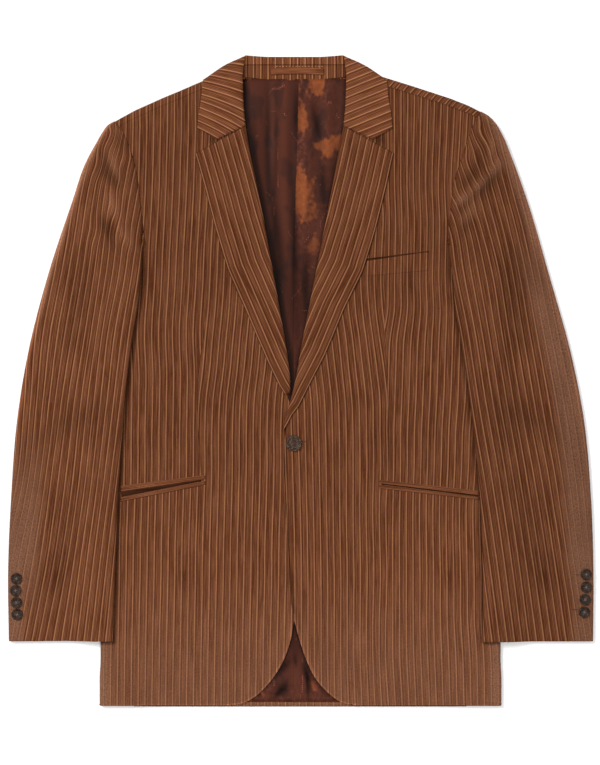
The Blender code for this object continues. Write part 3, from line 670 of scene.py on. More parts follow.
for side, sign in SIGN.items():
    # The left half laps a little over the right, so that the pleat stays closed.
    laps = side == "left"
    spots = []
    for row in finer(LINING_EDGE, 5.0):
        line = []
        pleat = x_at(PLEAT, row.up)
        for share in even(54):
            # Its columns are closer towards the middle, where it shows.
            x = blend(pleat - 0.8 * laps, sign * row.x, share * (0.25 + 0.75 * share))
            shows = max(ease(300, 380, row.up), ease(110, 90, row.up)) * ease(70, 56, abs(x - CENTRE))
            over = 0.15 + 1.2 * hill(x - pleat, 9.0) * ease(330, 460, row.up) * ease(772, 750, row.up)
            z = 1.25 * back_lift(x, row.up) + CORD + AIR + SATIN
            z += crease(x, row.up, LINING_FOLDS) * shows + over * laps
            line.append(Spot(x, row.up, z))
        spots.append(line)
    cloth(f"lining_back_{side}", spots, lambda x, up, middle: (x, up), finish=lining_satin, wall=0.7,
          wear_print_and_highlight=lining_rust, painted_light_and_tone=lining_light_and_shade, slot="lining")


# ---------------------------------------------------------------- the fronts
# Each front is one piece of needlecord, with a dart from the chest to the hip pocket
# that takes in a stripe or more, so the stripes meet along it in long slanting points.

ROLL = {
    "right": table(Edge, (-76, 784), (-71, 765), (-69, 741), (-66, 708), (-55, 651), (-44, 597), (-41, 582)),
    "left": table(Edge, (62, 785), (57, 765), (55, 741), (52, 708), (41, 651), (31, 597), (28, 582)),
}
TUCK = 4.5              # how far a front goes under its lapel, down to where the lapel ends
LAPEL_END = {"right": (370, 385), "left": (334, 347)}
NOTCH = {"right": (-106, 699), "left": (97, 699)}
DART = {
    "right": table(Edge, (-117.3, 730), (-117.3, 462), (-124.4, 426), (-126, 394), (-126.7, 357), (-122, 282),
        (-122, 0)),
    "left": table(Edge, (103.8, 730), (103.8, 474), (107.7, 388), (108.6, 280), (108.6, 0)),
}
SLIT = Span(-221, 262, -117, 279.5)      # the mouth of the right hip pocket
# How far the stripes of the right front lean from their place at the hem.
LEAN = table(Edge, (0, 11.7), (0.6, 58), (1.5, 108), (2.5, 157), (3.1, 206), (4.4, 249), (5.4, 298), (5.5, 341),
    (6.8, 378), (11.1, 415), (14.4, 452), (18.1, 489), (20.5, 526), (21.9, 563), (24, 600), (25.8, 637), (27, 673),
    (28.3, 710))
# Where stripes of the left front run: a height, then the places of stripes -16, -9 and -4, which
# are on the closing's side of the dart, and of 0 and 9, on the arm's side.
LEFT_STRIPES = [
    (11.7, 10.2, 67.4, 108.0, 116.6, 192.9), (58.4, 9.6, 66.2, 105.5, 114.1, 191.6),
    (107.6, 9.7, 65.9, 105.5, 114.1, 189.3), (156.8, 9.6, 66.2, 106.8, 114.1, 189.2),
    (249.1, 8.1, 65.1, 105.7, 114.3, 188.1), (298.3, 7.0, 65.2, 107.9, 115.3, 190.3),
    (341.3, 5.9, 64.9, 106.8, 115.4, 191.6), (378.2, 4.7, 63.7, 106.8, 116.6, 194.1),
    (415.1, 0.4, 60.0, 103.1, 117.8, 195.3), (452.0, -5.2, 56.5, 98.0, 119.2, 196.4),
    (488.9, -10.1, 51.4, 93.1, 123.9, 196.6), (525.8, -11.9, 49.7, 90.9, 123.9, 194.3),
    (562.7, -10.1, 50.8, 92.0, 124.6, 194.6), (599.6, -6.4, 53.9, 94.1, 125.2, 195.0),
    (636.5, -5.2, 52.6, 92.6, 123.9, 193.5), (710.3, -3.9, 52.6, 92.0, 124.0, 196.6),
]


def stripe_at(rows, numbers, columns, x, up):
    """Which stripe, counted in whole numbers, runs through a place."""
    k = min(max(bisect_right(rows, (up,)), 1), len(rows) - 1)
    low, high = rows[k - 1], rows[k]
    share = (up - low[0]) / (high[0] - low[0])
    xs = [blend(low[c], high[c], share) for c in columns]
    outwards = 1.0 if xs[-1] > xs[0] else -1.0
    n = 0
    while n < len(xs) - 2 and (x - xs[n + 1]) * outwards > 0.0:
        n += 1
    return blend(numbers[n], numbers[n + 1], (x - xs[n]) / (xs[n + 1] - xs[n]))


lean_rows, left_rows = finer(LEAN, 5.0), finer(LEFT_STRIPES, 5.0)


def front_grain(side):
    def right(x, up, middle):
        slit = blend(SLIT.inner_up, SLIT.outer_up, (middle.x - SLIT.inner_x) / (SLIT.outer_x - SLIT.inner_x))
        beyond = middle.up > slit and middle.x < x_at(DART["right"], middle.up)
        taken = 11.7 * ease(489, 360, up) if beyond else 0.0
        return (x + 216.7 - x_at(lean_rows, up) - taken) / BODY_STRIPES * PERIOD, up

    def left(x, up, middle):
        if middle.x < x_at(DART["left"], middle.up):
            number = stripe_at(left_rows, (-16, -9, -4), (1, 2, 3), x, up)
        else:
            number = stripe_at(left_rows, (0, 9), (4, 5), x, up)
        return number * PERIOD, up

    return left if side == "left" else right


def front_paling(x, up):
    """Paler, with fainter stripes, along the side fold and towards the hem."""
    wear_print_and_highlight = 0.35 * ease(228, 240, abs(x)) * ease(250, 120, up) + 0.4 * ease(190, 10, up)
    return wear_print_and_highlight + 0.25 * ease(229, 244, abs(x)) * ease(430, 300, up)


def front_light_and_shade(side):
    def painted_light_and_tone(x, up):
        # Paler towards the hem, with painted light on its bottom edge where the cloth turns down.
        value = 0.98 + 0.18 * ease(330, 60, up) - 0.05 * ease(470, 520, up) + 0.45 * ease(4.6, 2.2, up)
        # Painted shade along the dart.
        away = abs(x - x_at(DART[side], up))
        value *= 1.0 - 0.22 * hill(away, 2.2) * ease(490, 400, up) * ease(272, 290, up)
        # Shade beside the sleeve that lies on it.
        beside = away_from(SLEEVE_INNER[side], x, up)
        value *= 1.0 - 0.5 * ease(4.0, 0.5, beside) * ease(568, 540, up)
        # Painted shade in the notch, under the lapel and the collar.
        value *= 1.0 - 0.5 * hill(math.dist((x, up), NOTCH[side]), 12.0)
        if up < 345.0:
            # A painted highlight along the cutaway's turned edge; on the left front, a painted shadow along its
            # closing edge.
            edge = away_from(CUTAWAY[side], x, up)
            value *= 1.0 + 0.45 * ease(1.9, 0.7, edge) * ease(112, 100, up)
            if side == "left":
                value *= 1.0 - 0.6 * ease(1.5, 0.5, edge) * ease(105, 118, up)
        return value
    return painted_light_and_tone


# The inner edge of each sleeve, where it lies on the front.
SLEEVE_INNER = {
    "right": table(Edge, (-193, 571), (-195, 533), (-198, 503), (-205, 459), (-213, 400), (-219, 329), (-224, 252),
        (-227, 165), (-230, 82), (-246, 80)),
    "left": table(Edge, (182, 571), (187.5, 526), (190, 495), (198, 449), (207, 390), (214, 329), (221, 255),
        (224, 165), (224, 81), (246, 80)),
}
# turned is 1 where the row's outer end turns under at the side fold.
FrontRow = namedtuple("FrontRow", "inner_x inner_up outer_x outer_up turned", defaults=(0.0,))
EDGE_REACH = 1.6                # how far from its end a turned edge starts to drop


def lip(distance, reach=EDGE_REACH, deep=0.8):
    """How far a turned edge of cloth drops at a distance from its end."""
    inside = min(max(1.0 - distance / reach, 0.0), 1.0)
    return deep * (1.0 - math.sqrt(1.0 - inside * inside))


def ends_of(row):
    return Vector((row.inner_x, row.inner_up)), Vector((row.outer_x, row.outer_up))


def with_hem(rows):
    """The rows with the last one drawn out into four, close together, so that its edge can round."""
    hem, before = rows[-1], rows[-2]
    far = before.outer_up - hem.outer_up
    return rows[:-1] + [between(hem, before, reach / far) for reach in (EDGE_REACH, 0.9, 0.4, 0.0)]


for side, sign in SIGN.items():
    armhole, roll = armholes[side], finer(ROLL[side], 4.0)
    neck, hole = yoke_line(side, SHOULDER_FOLD + SEAM_INSET[side] + SEAM)
    start = neck + (hole - neck).normalized() * TUCK
    rows = [FrontRow(*start, hole.x - sign * 0.1, hole.y)]
    for share in even(12, 0.14, 1.0):
        inner, outer = point_along(roll, share), point_along(armhole, share)
        rows.append(FrontRow(inner.x + sign * TUCK, inner.up, outer.x - sign * 0.1, outer.up))
    start, stop = rows[-1], SKIRT[side][0]
    for drop in (0.4, 0.75):
        rows.append(FrontRow(blend(start.inner_x, stop.inner_x + sign * TUCK, drop),
                             blend(start.inner_up, stop.inner_up, drop),
                             blend(start.outer_x, stop.outer_x, drop ** 2),
                             blend(start.outer_up, stop.outer_up, drop)))
    for row in SKIRT[side]:
        tuck = TUCK * ease(*LAPEL_END[side], row.inner_up)
        turned = float(row is not SKIRT[side][0])
        rows.append(FrontRow(row.inner_x + sign * tuck, row.inner_up, row.outer_x, row.outer_up, turned))
    spots = []
    for row in with_hem(finer(rows, 4.0)):
        inner, outer = ends_of(row)
        width = (outer - inner).length
        dart = (x_at(DART[side], (inner.y + outer.y) / 2) - inner.x) / (outer.x - inner.x)
        dart = min(max(dart, 0.12), 0.88)
        shares = [reach / width for reach in (0.0, 0.35, 0.85)]
        shares += even(30, EDGE_REACH / width, dart)[:-1] + even(30, dart, 1.0 - SIDE_FOLD / width)
        line = []
        for share in shares:
            spot = inner.lerp(outer, share)
            z = front_top(*spot, side) - lip(share * width) - lip(spot.y - 2.0)
            beside = hill(spot.x - x_at(DART[side], spot.y), 3.0)
            z -= 0.5 * beside * ease(480, 400, spot.y) * ease(274, 290, spot.y)
            line.append(Spot(*spot, z))
        for reach, drop in reversed(rolled(SIDE_FOLD, row.turned * (SIDE_TOP / 2.0 - SEAM))):
            spot = inner.lerp(outer, 1.0 - reach / width)
            sewn = (1.0 - row.turned) * lip(reach, 1.2, 0.35)
            z = front_top(*spot, side) - drop - sewn - lip(spot.y - 2.0)
            line.append(Spot(*spot, z, sign * drop * SIDE_WRAP))
        spots.append(line)
    if side == "left":
        # Its first row is tucked under the shoulder's seam.
        spots[0] = [spot._replace(z=spot.z - 0.5) for spot in spots[0]]
    cloth(f"front_{side}", spots, front_grain(side), wear_print_and_highlight=front_paling, painted_light_and_tone=front_light_and_shade(side), shoulder=True)


# ---------------------------------------------------------------- the pockets
# Two hip pockets with narrow jets, cut with the stripe lengthwise round a slit painted dark as
# shade, and a breast pocket behind a slanting welt whose stripes match those of the front.

Jet = namedtuple("Jet", "x up_top up_low to_x to_up_top to_up_low")
HIP_JETS = {
    "right": table(Jet, (-221, 272.5, 265.2, -117, 285.5, 280.4), (-221, 258.6, 253.2, -117, 278.8, 273.6)),
    "left": table(Jet, (96, 280, 275.8, 220, 266.5, 260.8), (96, 274.6, 269.5, 220, 259, 255.5)),
}
WELT = Jet(82, 549.5, 530.5, 160, 561, 538)
WELT_MOUTH = Jet(81, 552.0, 548.8, 158.5, 561.6, 560.0)
JET_ROWS = (0.0, 0.06, 0.15, 0.28, 0.42, 0.58, 0.72, 0.85, 0.94, 1.0)      # shares, top to bottom


def share_at(strip, x):
    return (x - strip.x) / (strip.to_x - strip.x)


def ends_at(strip, share):
    """Top and bottom of a strip, at a share of its length."""
    return blend(strip.up_top, strip.to_up_top, share), blend(strip.up_low, strip.to_up_low, share)


def cross_grain(x, up, middle):
    return up, x


def jet(node, strip, side, grain, rows=40, rounded=True, painted_light_and_tone=1.0):
    """A strip sewn to a front: a jet rounded like a cord, or a flat welt."""
    spots = []
    for share in even(rows):
        x = blend(strip.x, strip.to_x, share)
        top, low = ends_at(strip, share)
        line = []
        for down in JET_ROWS:
            up = blend(top, low, down)
            if rounded:
                # It runs flat into the front at the end by the closing.
                end = share if side == "right" else 1.0 - share
                rise = 1.3 - 0.8 * ease(0.9, 1.0, end) - 0.8 * (1.0 - math.sqrt(1.0 - (2.0 * down - 1.0) ** 2))
            else:
                # Its lower edge and its end by the arm are sewn down almost level with the front.
                rise = 0.25 + 0.75 * ease(0.8, 0.1, down) * ease(1.0, 0.9, share)
                rise -= lip(down * (top - low), 1.0, 0.5) + 0.5 * ease(0.95, 1.0, share)
            line.append(Spot(x, up, front_top(x, up, side) + rise))
        spots.append(line)
    cloth(node, spots, grain, wall=0.9, painted_light_and_tone=painted_light_and_tone)


def pocket_mouth(node, strip, side, lift):
    """The cloth inside a pocket's mouth, painted dark as shade, deepest along its lower edge."""
    def shade(x, up):
        top, low = ends_at(strip, share_at(strip, x))
        return 0.46 - 0.34 * (top - up) / (top - low)

    spots = []
    for share in even(30):
        x = blend(strip.x, strip.to_x, share)
        ups = [blend(*ends_at(strip, share), down) for down in even(4)]
        spots.append([Spot(x, up, front_top(x, up, side) + lift) for up in ups])
    cloth(node, spots, cross_grain, finish=plain_cord, wall=0.4, painted_light_and_tone=shade, stands=False)


plain_cord = needlecord("plain needlecord", light=0.0)

for side in SIGN:
    upper, lower = HIP_JETS[side]
    # The mouth ends 5 mm short of the jets at the closing's end, and 1 mm at the arm's.
    first, last = (1, -5) if side == "right" else (5, -1)
    mouth = Jet(upper.x + first, upper.up_low + 1.0, lower.up_top - 1.0,
                upper.to_x + last, upper.to_up_low + 1.0, lower.to_up_top - 1.0)
    pocket_mouth(f"hip_pocket_inside_{side}", mouth, side, 0.5)
    for level, strip in (("upper", upper), ("lower", lower)):
        def lengthwise(x, up, middle, strip=strip):
            top, low = ends_at(strip, share_at(strip, x))
            return 2.1 + (up - low) / (top - low) * 5.9, x
        jet(f"hip_pocket_jet_{level}_{side}", strip, side, lengthwise, painted_light_and_tone=1.12)

pocket_mouth("breast_pocket_inside", WELT_MOUTH, "left", 0.3)
jet("breast_welt", WELT, "left", front_grain("left"), rows=30, rounded=False)


# ---------------------------------------------------------------- the lapels
# The facing of each front, turned back over it from a soft rolled edge. Its stripes
# run with its outer edge.

ROLL_NOSE, ROLL_DROP = 2.6, 3.0     # how far in a rolled edge reaches, and how far it drops
LAPEL_STRIPES = 8.55
LAPEL = {
    "right": table(Span, (-67, 714, -129, 680), (-59, 671, -119, 645), (-48, 618, -105, 592), (-38, 563, -89, 539),
        (-25, 490, -63, 479), (-16, 437, -40, 425), (-12, 403, -26, 396), (-12, 387, -19, 385)),
    "left": table(Span, (53, 714, 115, 681), (45, 671, 106, 640), (35, 618, 93, 588), (24, 560, 77, 536),
        (11, 494, 54, 489), (0, 437, 31, 434), (-6, 403, 11, 395), (-12, 378, -1, 371), (-17, 361, -10, 359),
        (-20, 350, -14, 351), (-21.3, 341, -19.6, 341.5)),
}


def outer_edge(rows):
    return [Edge(row.outer_x, row.outer_up) for row in rows]


def from_edge(edge):
    """Grain that runs with a line, counted in from it."""
    def grain(x, up, middle):
        return (away_from(edge, x, up) - 1.3) / LAPEL_STRIPES * PERIOD, up
    return grain


def edge_shadow(edge, dark):
    """Painted shadow where the free edge turns down on to the front."""
    return lambda x, up: 1.0 - dark * ease(1.5, 0.3, away_from(edge, x, up))


for side, sign in SIGN.items():
    fine = finer(LAPEL[side], 4.0)
    edge = outer_edge(LAPEL[side])
    first, second = Vector(edge[0]), Vector(edge[1])
    edge.insert(0, Edge(*(first + (first - second) * 0.5)))
    # Its top is tucked under the collar's edge.
    top = fine[0]
    fine.insert(0, Span(top.inner_x + sign * 0.3, top.inner_up + 1.4, top.outer_x, top.outer_up + 1.4))
    spots = []
    for row in fine:
        inner, outer = ends_of(row)
        width = (outer - inner).length
        under = 0.9 if row is fine[0] else 0.0
        nose = min(ROLL_NOSE, 0.4 * width)
        line = []
        for reach, drop in rolled(nose, ROLL_DROP):
            spot = inner.lerp(outer, reach / width)
            z = front_top(*spot, side) + PLY + CORD - drop - under
            line.append(Spot(*spot, z, -sign * drop * 0.6))
        reach = min(EDGE_REACH, 0.2 * width)
        shares = even(26, nose / width, 1.0 - reach / width) + [1.0 - reach * s / width for s in (0.55, 0.22, 0.0)]
        for share in shares:
            spot = inner.lerp(outer, share)
            puff = 0.7 * hill(share * width - 9.0, 9.0) * ease(10, 30, width)
            z = front_top(*spot, side) + PLY + CORD + puff - lip((1.0 - share) * width, reach, 0.9)
            line.append(Spot(*spot, z - under))
        spots.append(line)
    cloth(f"lapel_{side}", spots, from_edge(edge), wall=1.2, painted_light_and_tone=edge_shadow(edge, 0.4 if side == "right" else 0.7))


# ---------------------------------------------------------------- the collar
# One needlecord fall: it lies on both fronts beside the neck, turns over the shoulders
# and comes down behind the neck, under the laid back. Its notches are mitred to the lapels.

CollarRow = namedtuple("CollarRow", "inner_x inner_up outer_x outer_up notch roll")
COLLAR = table(CollarRow, (-67, 715.5, -126.5, 713, 15, 1.0), (-69, 735, -125, 729, 10, 1.0),
    (-70, 757, -122, 747, 5, 0.85), (-70.5, 778, -120.5, 759, 1, 0.6))
COLLAR_SHOULDER = Span(-67.5, LENGTH + 0.6, -119.3, 772.5)
COLLAR_BACK = table(Span, (-52, LENGTH, -96, 752), (-30, LENGTH, -50, 746), (CENTRE, LENGTH, CENTRE, 745))
NOTCH_AT, COLLAR_FOLD = 0.6, 8.0
COLLAR_SPREAD = 1.02                # how much wider its left half lies than its right
COLLAR_STRIPES = {"right": 9.8, "left": 9.6}

# From the notch over the shoulder to the centre back: each row, how deep its notch is, its level
# (1 on the front, 0 behind the neck), how far the fold has carried it in and how round its roll is.
half = [(row, row.notch, 1.0, 0.0, row.roll) for row in finer(COLLAR, 3.5)]
for angle in range(90, -91, -9):
    turn = math.radians(angle)
    level = 0.5 + 0.5 * math.sin(turn)
    half.append((COLLAR_SHOULDER, 0.0, level, COLLAR_FOLD * (1.0 - math.cos(turn)), 0.6 * ease(0.5, 1.0, level)))
half += [(row, 0.0, 0.0, 0.0, 0.0) for row in finer(COLLAR_BACK, 4.0)]
spots = []
for mirrored in (False, True):
    for row, notch, level, inset, roll in (half[-2::-1] if mirrored else half):
        inner, outer = ends_of(row)
        shift = Vector((-0.12, -0.99)) * inset
        width = (outer - inner).length
        shares = [blend(0.03 * k, ROLL_NOSE * (1.0 - math.cos(angle)) / width, roll)
                  for k, angle in enumerate(TURNS + [math.pi / 2.0])]
        shares += even(9, shares[-1], NOTCH_AT)[1:] + even(8, NOTCH_AT, 1.0 - EDGE_REACH / width)[1:]
        shares += [1.0 - reach / width for reach in (0.9, 0.4, 0.0)]
        line = []
        for k, share in enumerate(shares):
            dip = share / NOTCH_AT if share < NOTCH_AT else (1.0 - share) / (1.0 - NOTCH_AT)
            full = 2.6 * hill(share - 0.5, 0.55) if row is COLLAR_SHOULDER else 0.0
            spot = inner.lerp(outer, share) + shift + Vector((0.0, full - notch * dip))
            x = CENTRE + COLLAR_SPREAD * (CENTRE - spot.x) if mirrored else spot.x
            turned = 1.0 - math.sin(TURNS[k]) if k < len(TURNS) else 0.0
            on_top = front_top(x, min(spot.y, 776.0), "right") + PLY + CORD
            z = level * on_top - turned * roll * ROLL_DROP
            z -= lip((1.0 - share) * width) * (2.0 * level - 1.0)
            line.append(Spot(x, spot.y, z))
        spots.append(line)


def collar_grain(x, up, middle):
    """Across the leaves from the roll to the edge, and straight down behind the neck."""
    if abs(middle.x - CENTRE) < 54.0:
        return x - CENTRE, up
    if middle.x < CENTRE:
        slope = blend(0.28, 0.56, (764.0 - up) / 54.0)
        return (763.8 - up - slope * (x + 92.5)) / COLLAR_STRIPES["right"] * PERIOD, x
    return (788.0 - up + 0.4 * (x - 79.7)) / COLLAR_STRIPES["left"] * PERIOD, x


cloth("collar_fall", spots, collar_grain, looks=-1, painted_light_and_tone=1.26)


# ---------------------------------------------------------------- inside the neck
# The collar's stand and a facing below it, both with upright stripes, and a hanger loop
# of plain needlecord sewn to the facing at its ends.

FACING_LOW, NECK_SEAM = 774.0, 791.0        # heights of the facing's hem and of the stand's seam
LOOP = Span(-36, 782.1, 29, 782.1)
LOOP_WIDTH = 8.0
STAND_TURN = 2.4                # how far in from its top edge the stand rolls over
NECK_STRIPES = 9.1
NECK_LEVEL = COLLAR_LIFT + CORD + 1.8


def band_grain(x, up, middle):
    return (x + 3.0) / NECK_STRIPES * PERIOD, up


def facing_shade(x, up):
    # Paler in the middle, with painted shade towards both ends, in the corners of the neck.
    return 1.12 - 0.18 * ease(-44, -62, x) - 0.18 * ease(34, 48, x)


def sewing_thread(name, dark, pale):
    thread = Finish(name, Specular_IOR_Level=0.1)
    twist = thread.noise(thread.place(), 2400.0)
    return thread.finish(thread.mix(twist, dark, pale), 0.8 + twist * 0.1, twist, 0.4, 0.0002)


def solid(name, mesh, finish, slot):
    """A piece that isn't cloth, with its sharp edges kept."""
    piece = shown(name, mesh, finish, slot)
    piece.data.set_sharp_from_angle(angle=math.radians(38))
    return piece


def stitch(mesh, where, size, turn=0.0, around=8, down=6):
    """Adds a stitch: a bead of so many steps around and down, its size given from its middle."""
    bmesh.ops.create_uvsphere(mesh, u_segments=around, v_segments=down, radius=1.0,
                              matrix=Matrix.LocRotScale(where, Euler((0.0, 0.0, turn)), Vector(size) * MM))


stand, facing, loop = [], [], []
for x in even(60, -67.6, 53.2):
    bow = min(abs(x - CENTRE) / 60.0, 1.0) ** 2
    edge, hem = LENGTH - 1.2 + 3.0 * bow, FACING_LOW - 2.4 + 4.6 * bow
    high, low = NECK_SEAM + SEAM / 2, NECK_SEAM - SEAM / 2
    wider = CENTRE + (x - CENTRE) * 1.05
    line = [Spot(x, edge - reach, NECK_LEVEL + 0.2 - drop) for reach, drop in rolled(STAND_TURN, 3.3)]
    for up in [*even(5, edge - STAND_TURN, NECK_SEAM + 1.4), NECK_SEAM + 0.6, high]:
        spread = ease(edge - STAND_TURN, edge - 6.0, up)
        line.append(Spot(blend(x, wider, spread), up, NECK_LEVEL + 0.2 - lip(up - high, 1.2, 0.5)))
    stand.append(line)
    facing.append([Spot(wider, up, NECK_LEVEL - lip(low - up, 1.2, 0.5) - lip(up - hem, 1.2, 0.5))
                   for up in [low, NECK_SEAM - 0.6, *even(6, NECK_SEAM - 1.4, hem + 1.2), hem + 0.4, hem]])
for share in even(44):
    arch = math.sin(math.pi * share)
    line = []
    for down in (0.0, 0.04, 0.1, 0.2, 0.35, 0.5, 0.65, 0.8, 0.9, 0.96, 1.0):
        up = LOOP.inner_up + 1.6 * arch + LOOP_WIDTH * (down - 0.5)
        z = NECK_LEVEL + 1.4 + 1.4 * arch - lip(min(down, 1.0 - down) * LOOP_WIDTH, 2.2, 0.8)
        line.append(Spot(blend(LOOP.inner_x, LOOP.outer_x, share), up, z))
    loop.append(line)
cloth("collar_stand", stand, band_grain, wall=1.1, painted_light_and_tone=1.32)
cloth("neck_facing", facing, band_grain, wall=1.0, painted_light_and_tone=facing_shade)
cloth("hanger_loop", loop, cross_grain, finish=plain_cord, wall=1.2, painted_light_and_tone=1.45)

stitches = bmesh.new()
for x in even(14, -28.6, 26.8):
    stitch(stitches, place(x, NECK_SEAM - 2.0, NECK_LEVEL + 0.1), (1.0, 0.75, 0.35))
solid("neck_stitches", stitches, sewing_thread("tan thread", (0.22, 0.095, 0.05), (0.36, 0.18, 0.1)), "corduroy")


# ---------------------------------------------------------------- the sleeves
# Two-piece sleeves, set in at the armhole and pressed flat: the upper piece on top, the
# under piece below, seamed along both folds. The outer fold's pile is faded by wear, under a painted sheen.

SLEEVE_DEEP, SLEEVE_FOLD = 7.2, 4.0
SLEEVE_OVER, SLEEVE_SLIDE = SIDE_TOP + 0.8, 42.0       # its height on the body, and where it is down
CUFF, HEAD_REACH = 81.5, 11.0           # the cuff's height, and how far from the armhole a head rises
SleeveRow = namedtuple("SleeveRow", "inner_x inner_up outer_x outer_up bow head")
SLEEVE = {
    "right": table(SleeveRow, (-193, 571, -229, 718, 1.0, 5.2), (-193.3, 566, -237, 715, 0.93, 5.1),
        (-193.6, 561, -243.4, 707, 0.86, 4.9), (-194, 555, -249.6, 697, 0.78, 4.6),
        (-195, 533, -265, 668.5, 0.52, 3.0), (-198, 503, -280, 625, 0.3, 1.6), (-205, 459, -309, 538, 0.1, 0.4),
        (-213, 400, -336.6, 430, 0, 0), (-219, 329, -349, 352, 0, 0), (-224, 252, -356, 262, 0, 0),
        (-227, 165, -360, 165, 0, 0), (-230, 82, -359, 81, 0, 0)),
    "left": table(SleeveRow, (182, 571, 223, 729, 1.0, 5.2), (182.6, 565.5, 232, 726.0, 0.93, 5.1),
        (183.2, 560, 241, 717.5, 0.86, 4.9), (184, 553, 247.5, 707, 0.78, 4.6),
        (187.5, 526, 261.6, 674, 0.52, 3.0), (190, 495, 277, 632, 0.3, 1.6), (198, 449, 306.8, 532, 0.1, 0.4),
        (207, 390, 335, 430, 0, 0), (214, 329, 350, 352, 0, 0), (221, 255, 358.2, 262, 0, 0),
        (224, 165, 361.5, 165, 0, 0), (224, 81, 361, 81, 0, 0)),
}
# Ridges, where the stripes are pulled aside and a painted highlight pales them, then the hollows beside them.
SLEEVE_RIDGES = {
    "right": table(Fold, (-239, 686, -221, 645, 6, 1.9), (-235, 634, -225, 602, 8, 1.5),
        (-223, 594, -202, 560, 7, 1.3), (-226, 712, -232, 700, 6, 0.8)),
    "left": table(Fold, (249, 676, 233, 651, 5.5, 1.9), (234, 652, 211, 633, 5.5, 1.9),
        (211, 633, 190, 618, 5.5, 1.7), (236, 702, 233, 667, 4.5, 1.1), (219, 622, 199, 596, 7, 1.0)),
}
SLEEVE_HOLLOWS = {
    "right": table(Fold, (-246, 667, -225, 639, 7, -1.9), (-243, 604, -225, 577, 6.5, -1.6),
        (-214, 668, -206, 640, 8, -0.7), (-262, 420, -335, 360, 20, 1.2), (-240, 372, -320, 330, 14, -1.0),
        (-238, 300, -330, 292, 16, 1.0), (-228, 520, -232, 380, 14, 1.0), (-262, 560, -285, 440, 13, -0.9),
        (-300, 500, -322, 380, 12, 0.9), (-250, 240, -262, 120, 16, 0.8), (-290, 260, -300, 110, 14, -0.8),
        (-232, 96, -246, 84, 5, 1.0)),
    "left": table(Fold, (246, 659, 221, 624, 8, -1.5), (227, 667, 199, 637, 8, -1.4),
        (212, 606, 196, 575, 7, -1.2), (262, 425, 338, 372, 20, 1.2), (238, 376, 322, 334, 14, -1.0),
        (236, 296, 330, 300, 16, 1.0), (222, 540, 226, 400, 14, 1.0), (258, 560, 278, 450, 13, -0.9),
        (296, 500, 318, 380, 12, 0.9), (246, 240, 258, 120, 16, 0.8), (288, 260, 300, 110, 14, -0.8),
        (228, 176, 231, 90, 4, 1.2), (226, 90, 240, 84, 4, 0.8)),
}
# Where the sleeve heads are deepest in shade, and where their folds catch the light.
SLEEVE_SHADE = {
    "right": table(Fold, (-226.6, 706, -214, 676, 6, 0.26), (-247, 690, -224, 638, 5.5, 0.34),
        (-246, 602, -229, 566, 5, 0.3), (-237, 694, -224, 652, 3.2, -0.1), (-240, 645, -229, 609, 5, -0.08),
        (-231, 618, -215, 566, 4, -0.1)),
    "left": table(Fold, (229, 688, 199, 639, 7, 0.22), (243, 659, 209, 624, 5, 0.3), (209, 624, 190, 605, 5, 0.2),
        (246, 677, 216, 648, 3.4, -0.16), (216, 648, 188, 620, 3.2, -0.14), (237, 705, 234, 670, 3, -0.2)),
}
# Where easing into the armhole gathers the wales: a middle, its reach and how much.
GATHERS = {
    "right": [(Edge(-219, 697), 26.0, 0.7), (Edge(-236, 664), 26.0, 0.35), (Edge(-240, 586), 26.0, 0.35)],
    "left": [(Edge(206, 700), 26.0, 0.7), (Edge(196, 664), 26.0, 0.45), (Edge(204, 610), 20.0, 0.3)],
}
# Where these numbered stripes of a sleeve run, each row after its height.
STRIPE_NUMBERS = (2, 5, 8, 11, 14)
SLEEVE_STRIPES = {
    "right": [(85.5, -256.1, -283.1, -312.7, -337.4, -363.1), (181.4, -245.0, -269.6, -294.2, -320.0, -345.9),
              (279.8, -232.6, -256.0, -279.7, -306.4, -327.3), (378.2, -220.3, -244.9, -269.5, -293.2, -316.2),
              (464.3, -209.2, -235.1, -256.2, -279.6, -306.6), (538.1, -197.7, -221.6, -245.0, -267.2, -293.0),
              (587.3, -191.5, -215.4, -238.7, -260.0, -284.3), (636.5, -182.3, -208.1, -233.9, -252.4, -275.8),
              (685.7, -172.4, -198.3, -222.8, -241.2, -263.5)],
    "left": [(85.5, 253.3, 281.2, 308.6, 335.7, 358.9), (181.4, 240.8, 267.9, 295.0, 322.0, 342.9),
             (279.8, 226.2, 253.3, 279.1, 306.1, 330.7), (378.2, 209.5, 236.0, 261.9, 287.3, 314.6),
             (464.3, 196.6, 222.3, 246.9, 272.9, 298.8), (538.1, 181.8, 208.9, 234.7, 260.5, 285.1),
             (587.3, 175.6, 200.2, 222.1, 249.4, 274.0), (636.5, 159.7, 184.3, 209.0, 236.9, 260.6),
             (685.7, 142.4, 168.3, 193.5, 221.3, 248.3)],
}
SLEEVE_EDGE = {side: outer_edge(rows) for side, rows in SLEEVE.items()}
BODY_EDGE = {side: outer_edge(rows) for side, rows in SKIRT.items()}


def sleeve_under(x, up):
    """Underside of a sleeve: on the body's side, then down to the floor beside it."""
    beyond = abs(x) - abs(x_at(BODY_EDGE[side_of(x)], up))
    return SLEEVE_OVER * ease(630, 562, up) * ease(SLEEVE_SLIDE, 2, beyond)


def from_fold(x, up):
    """Distance in from a sleeve's outer fold."""
    return abs(x_at(SLEEVE_EDGE[side_of(x)], up)) - abs(x)


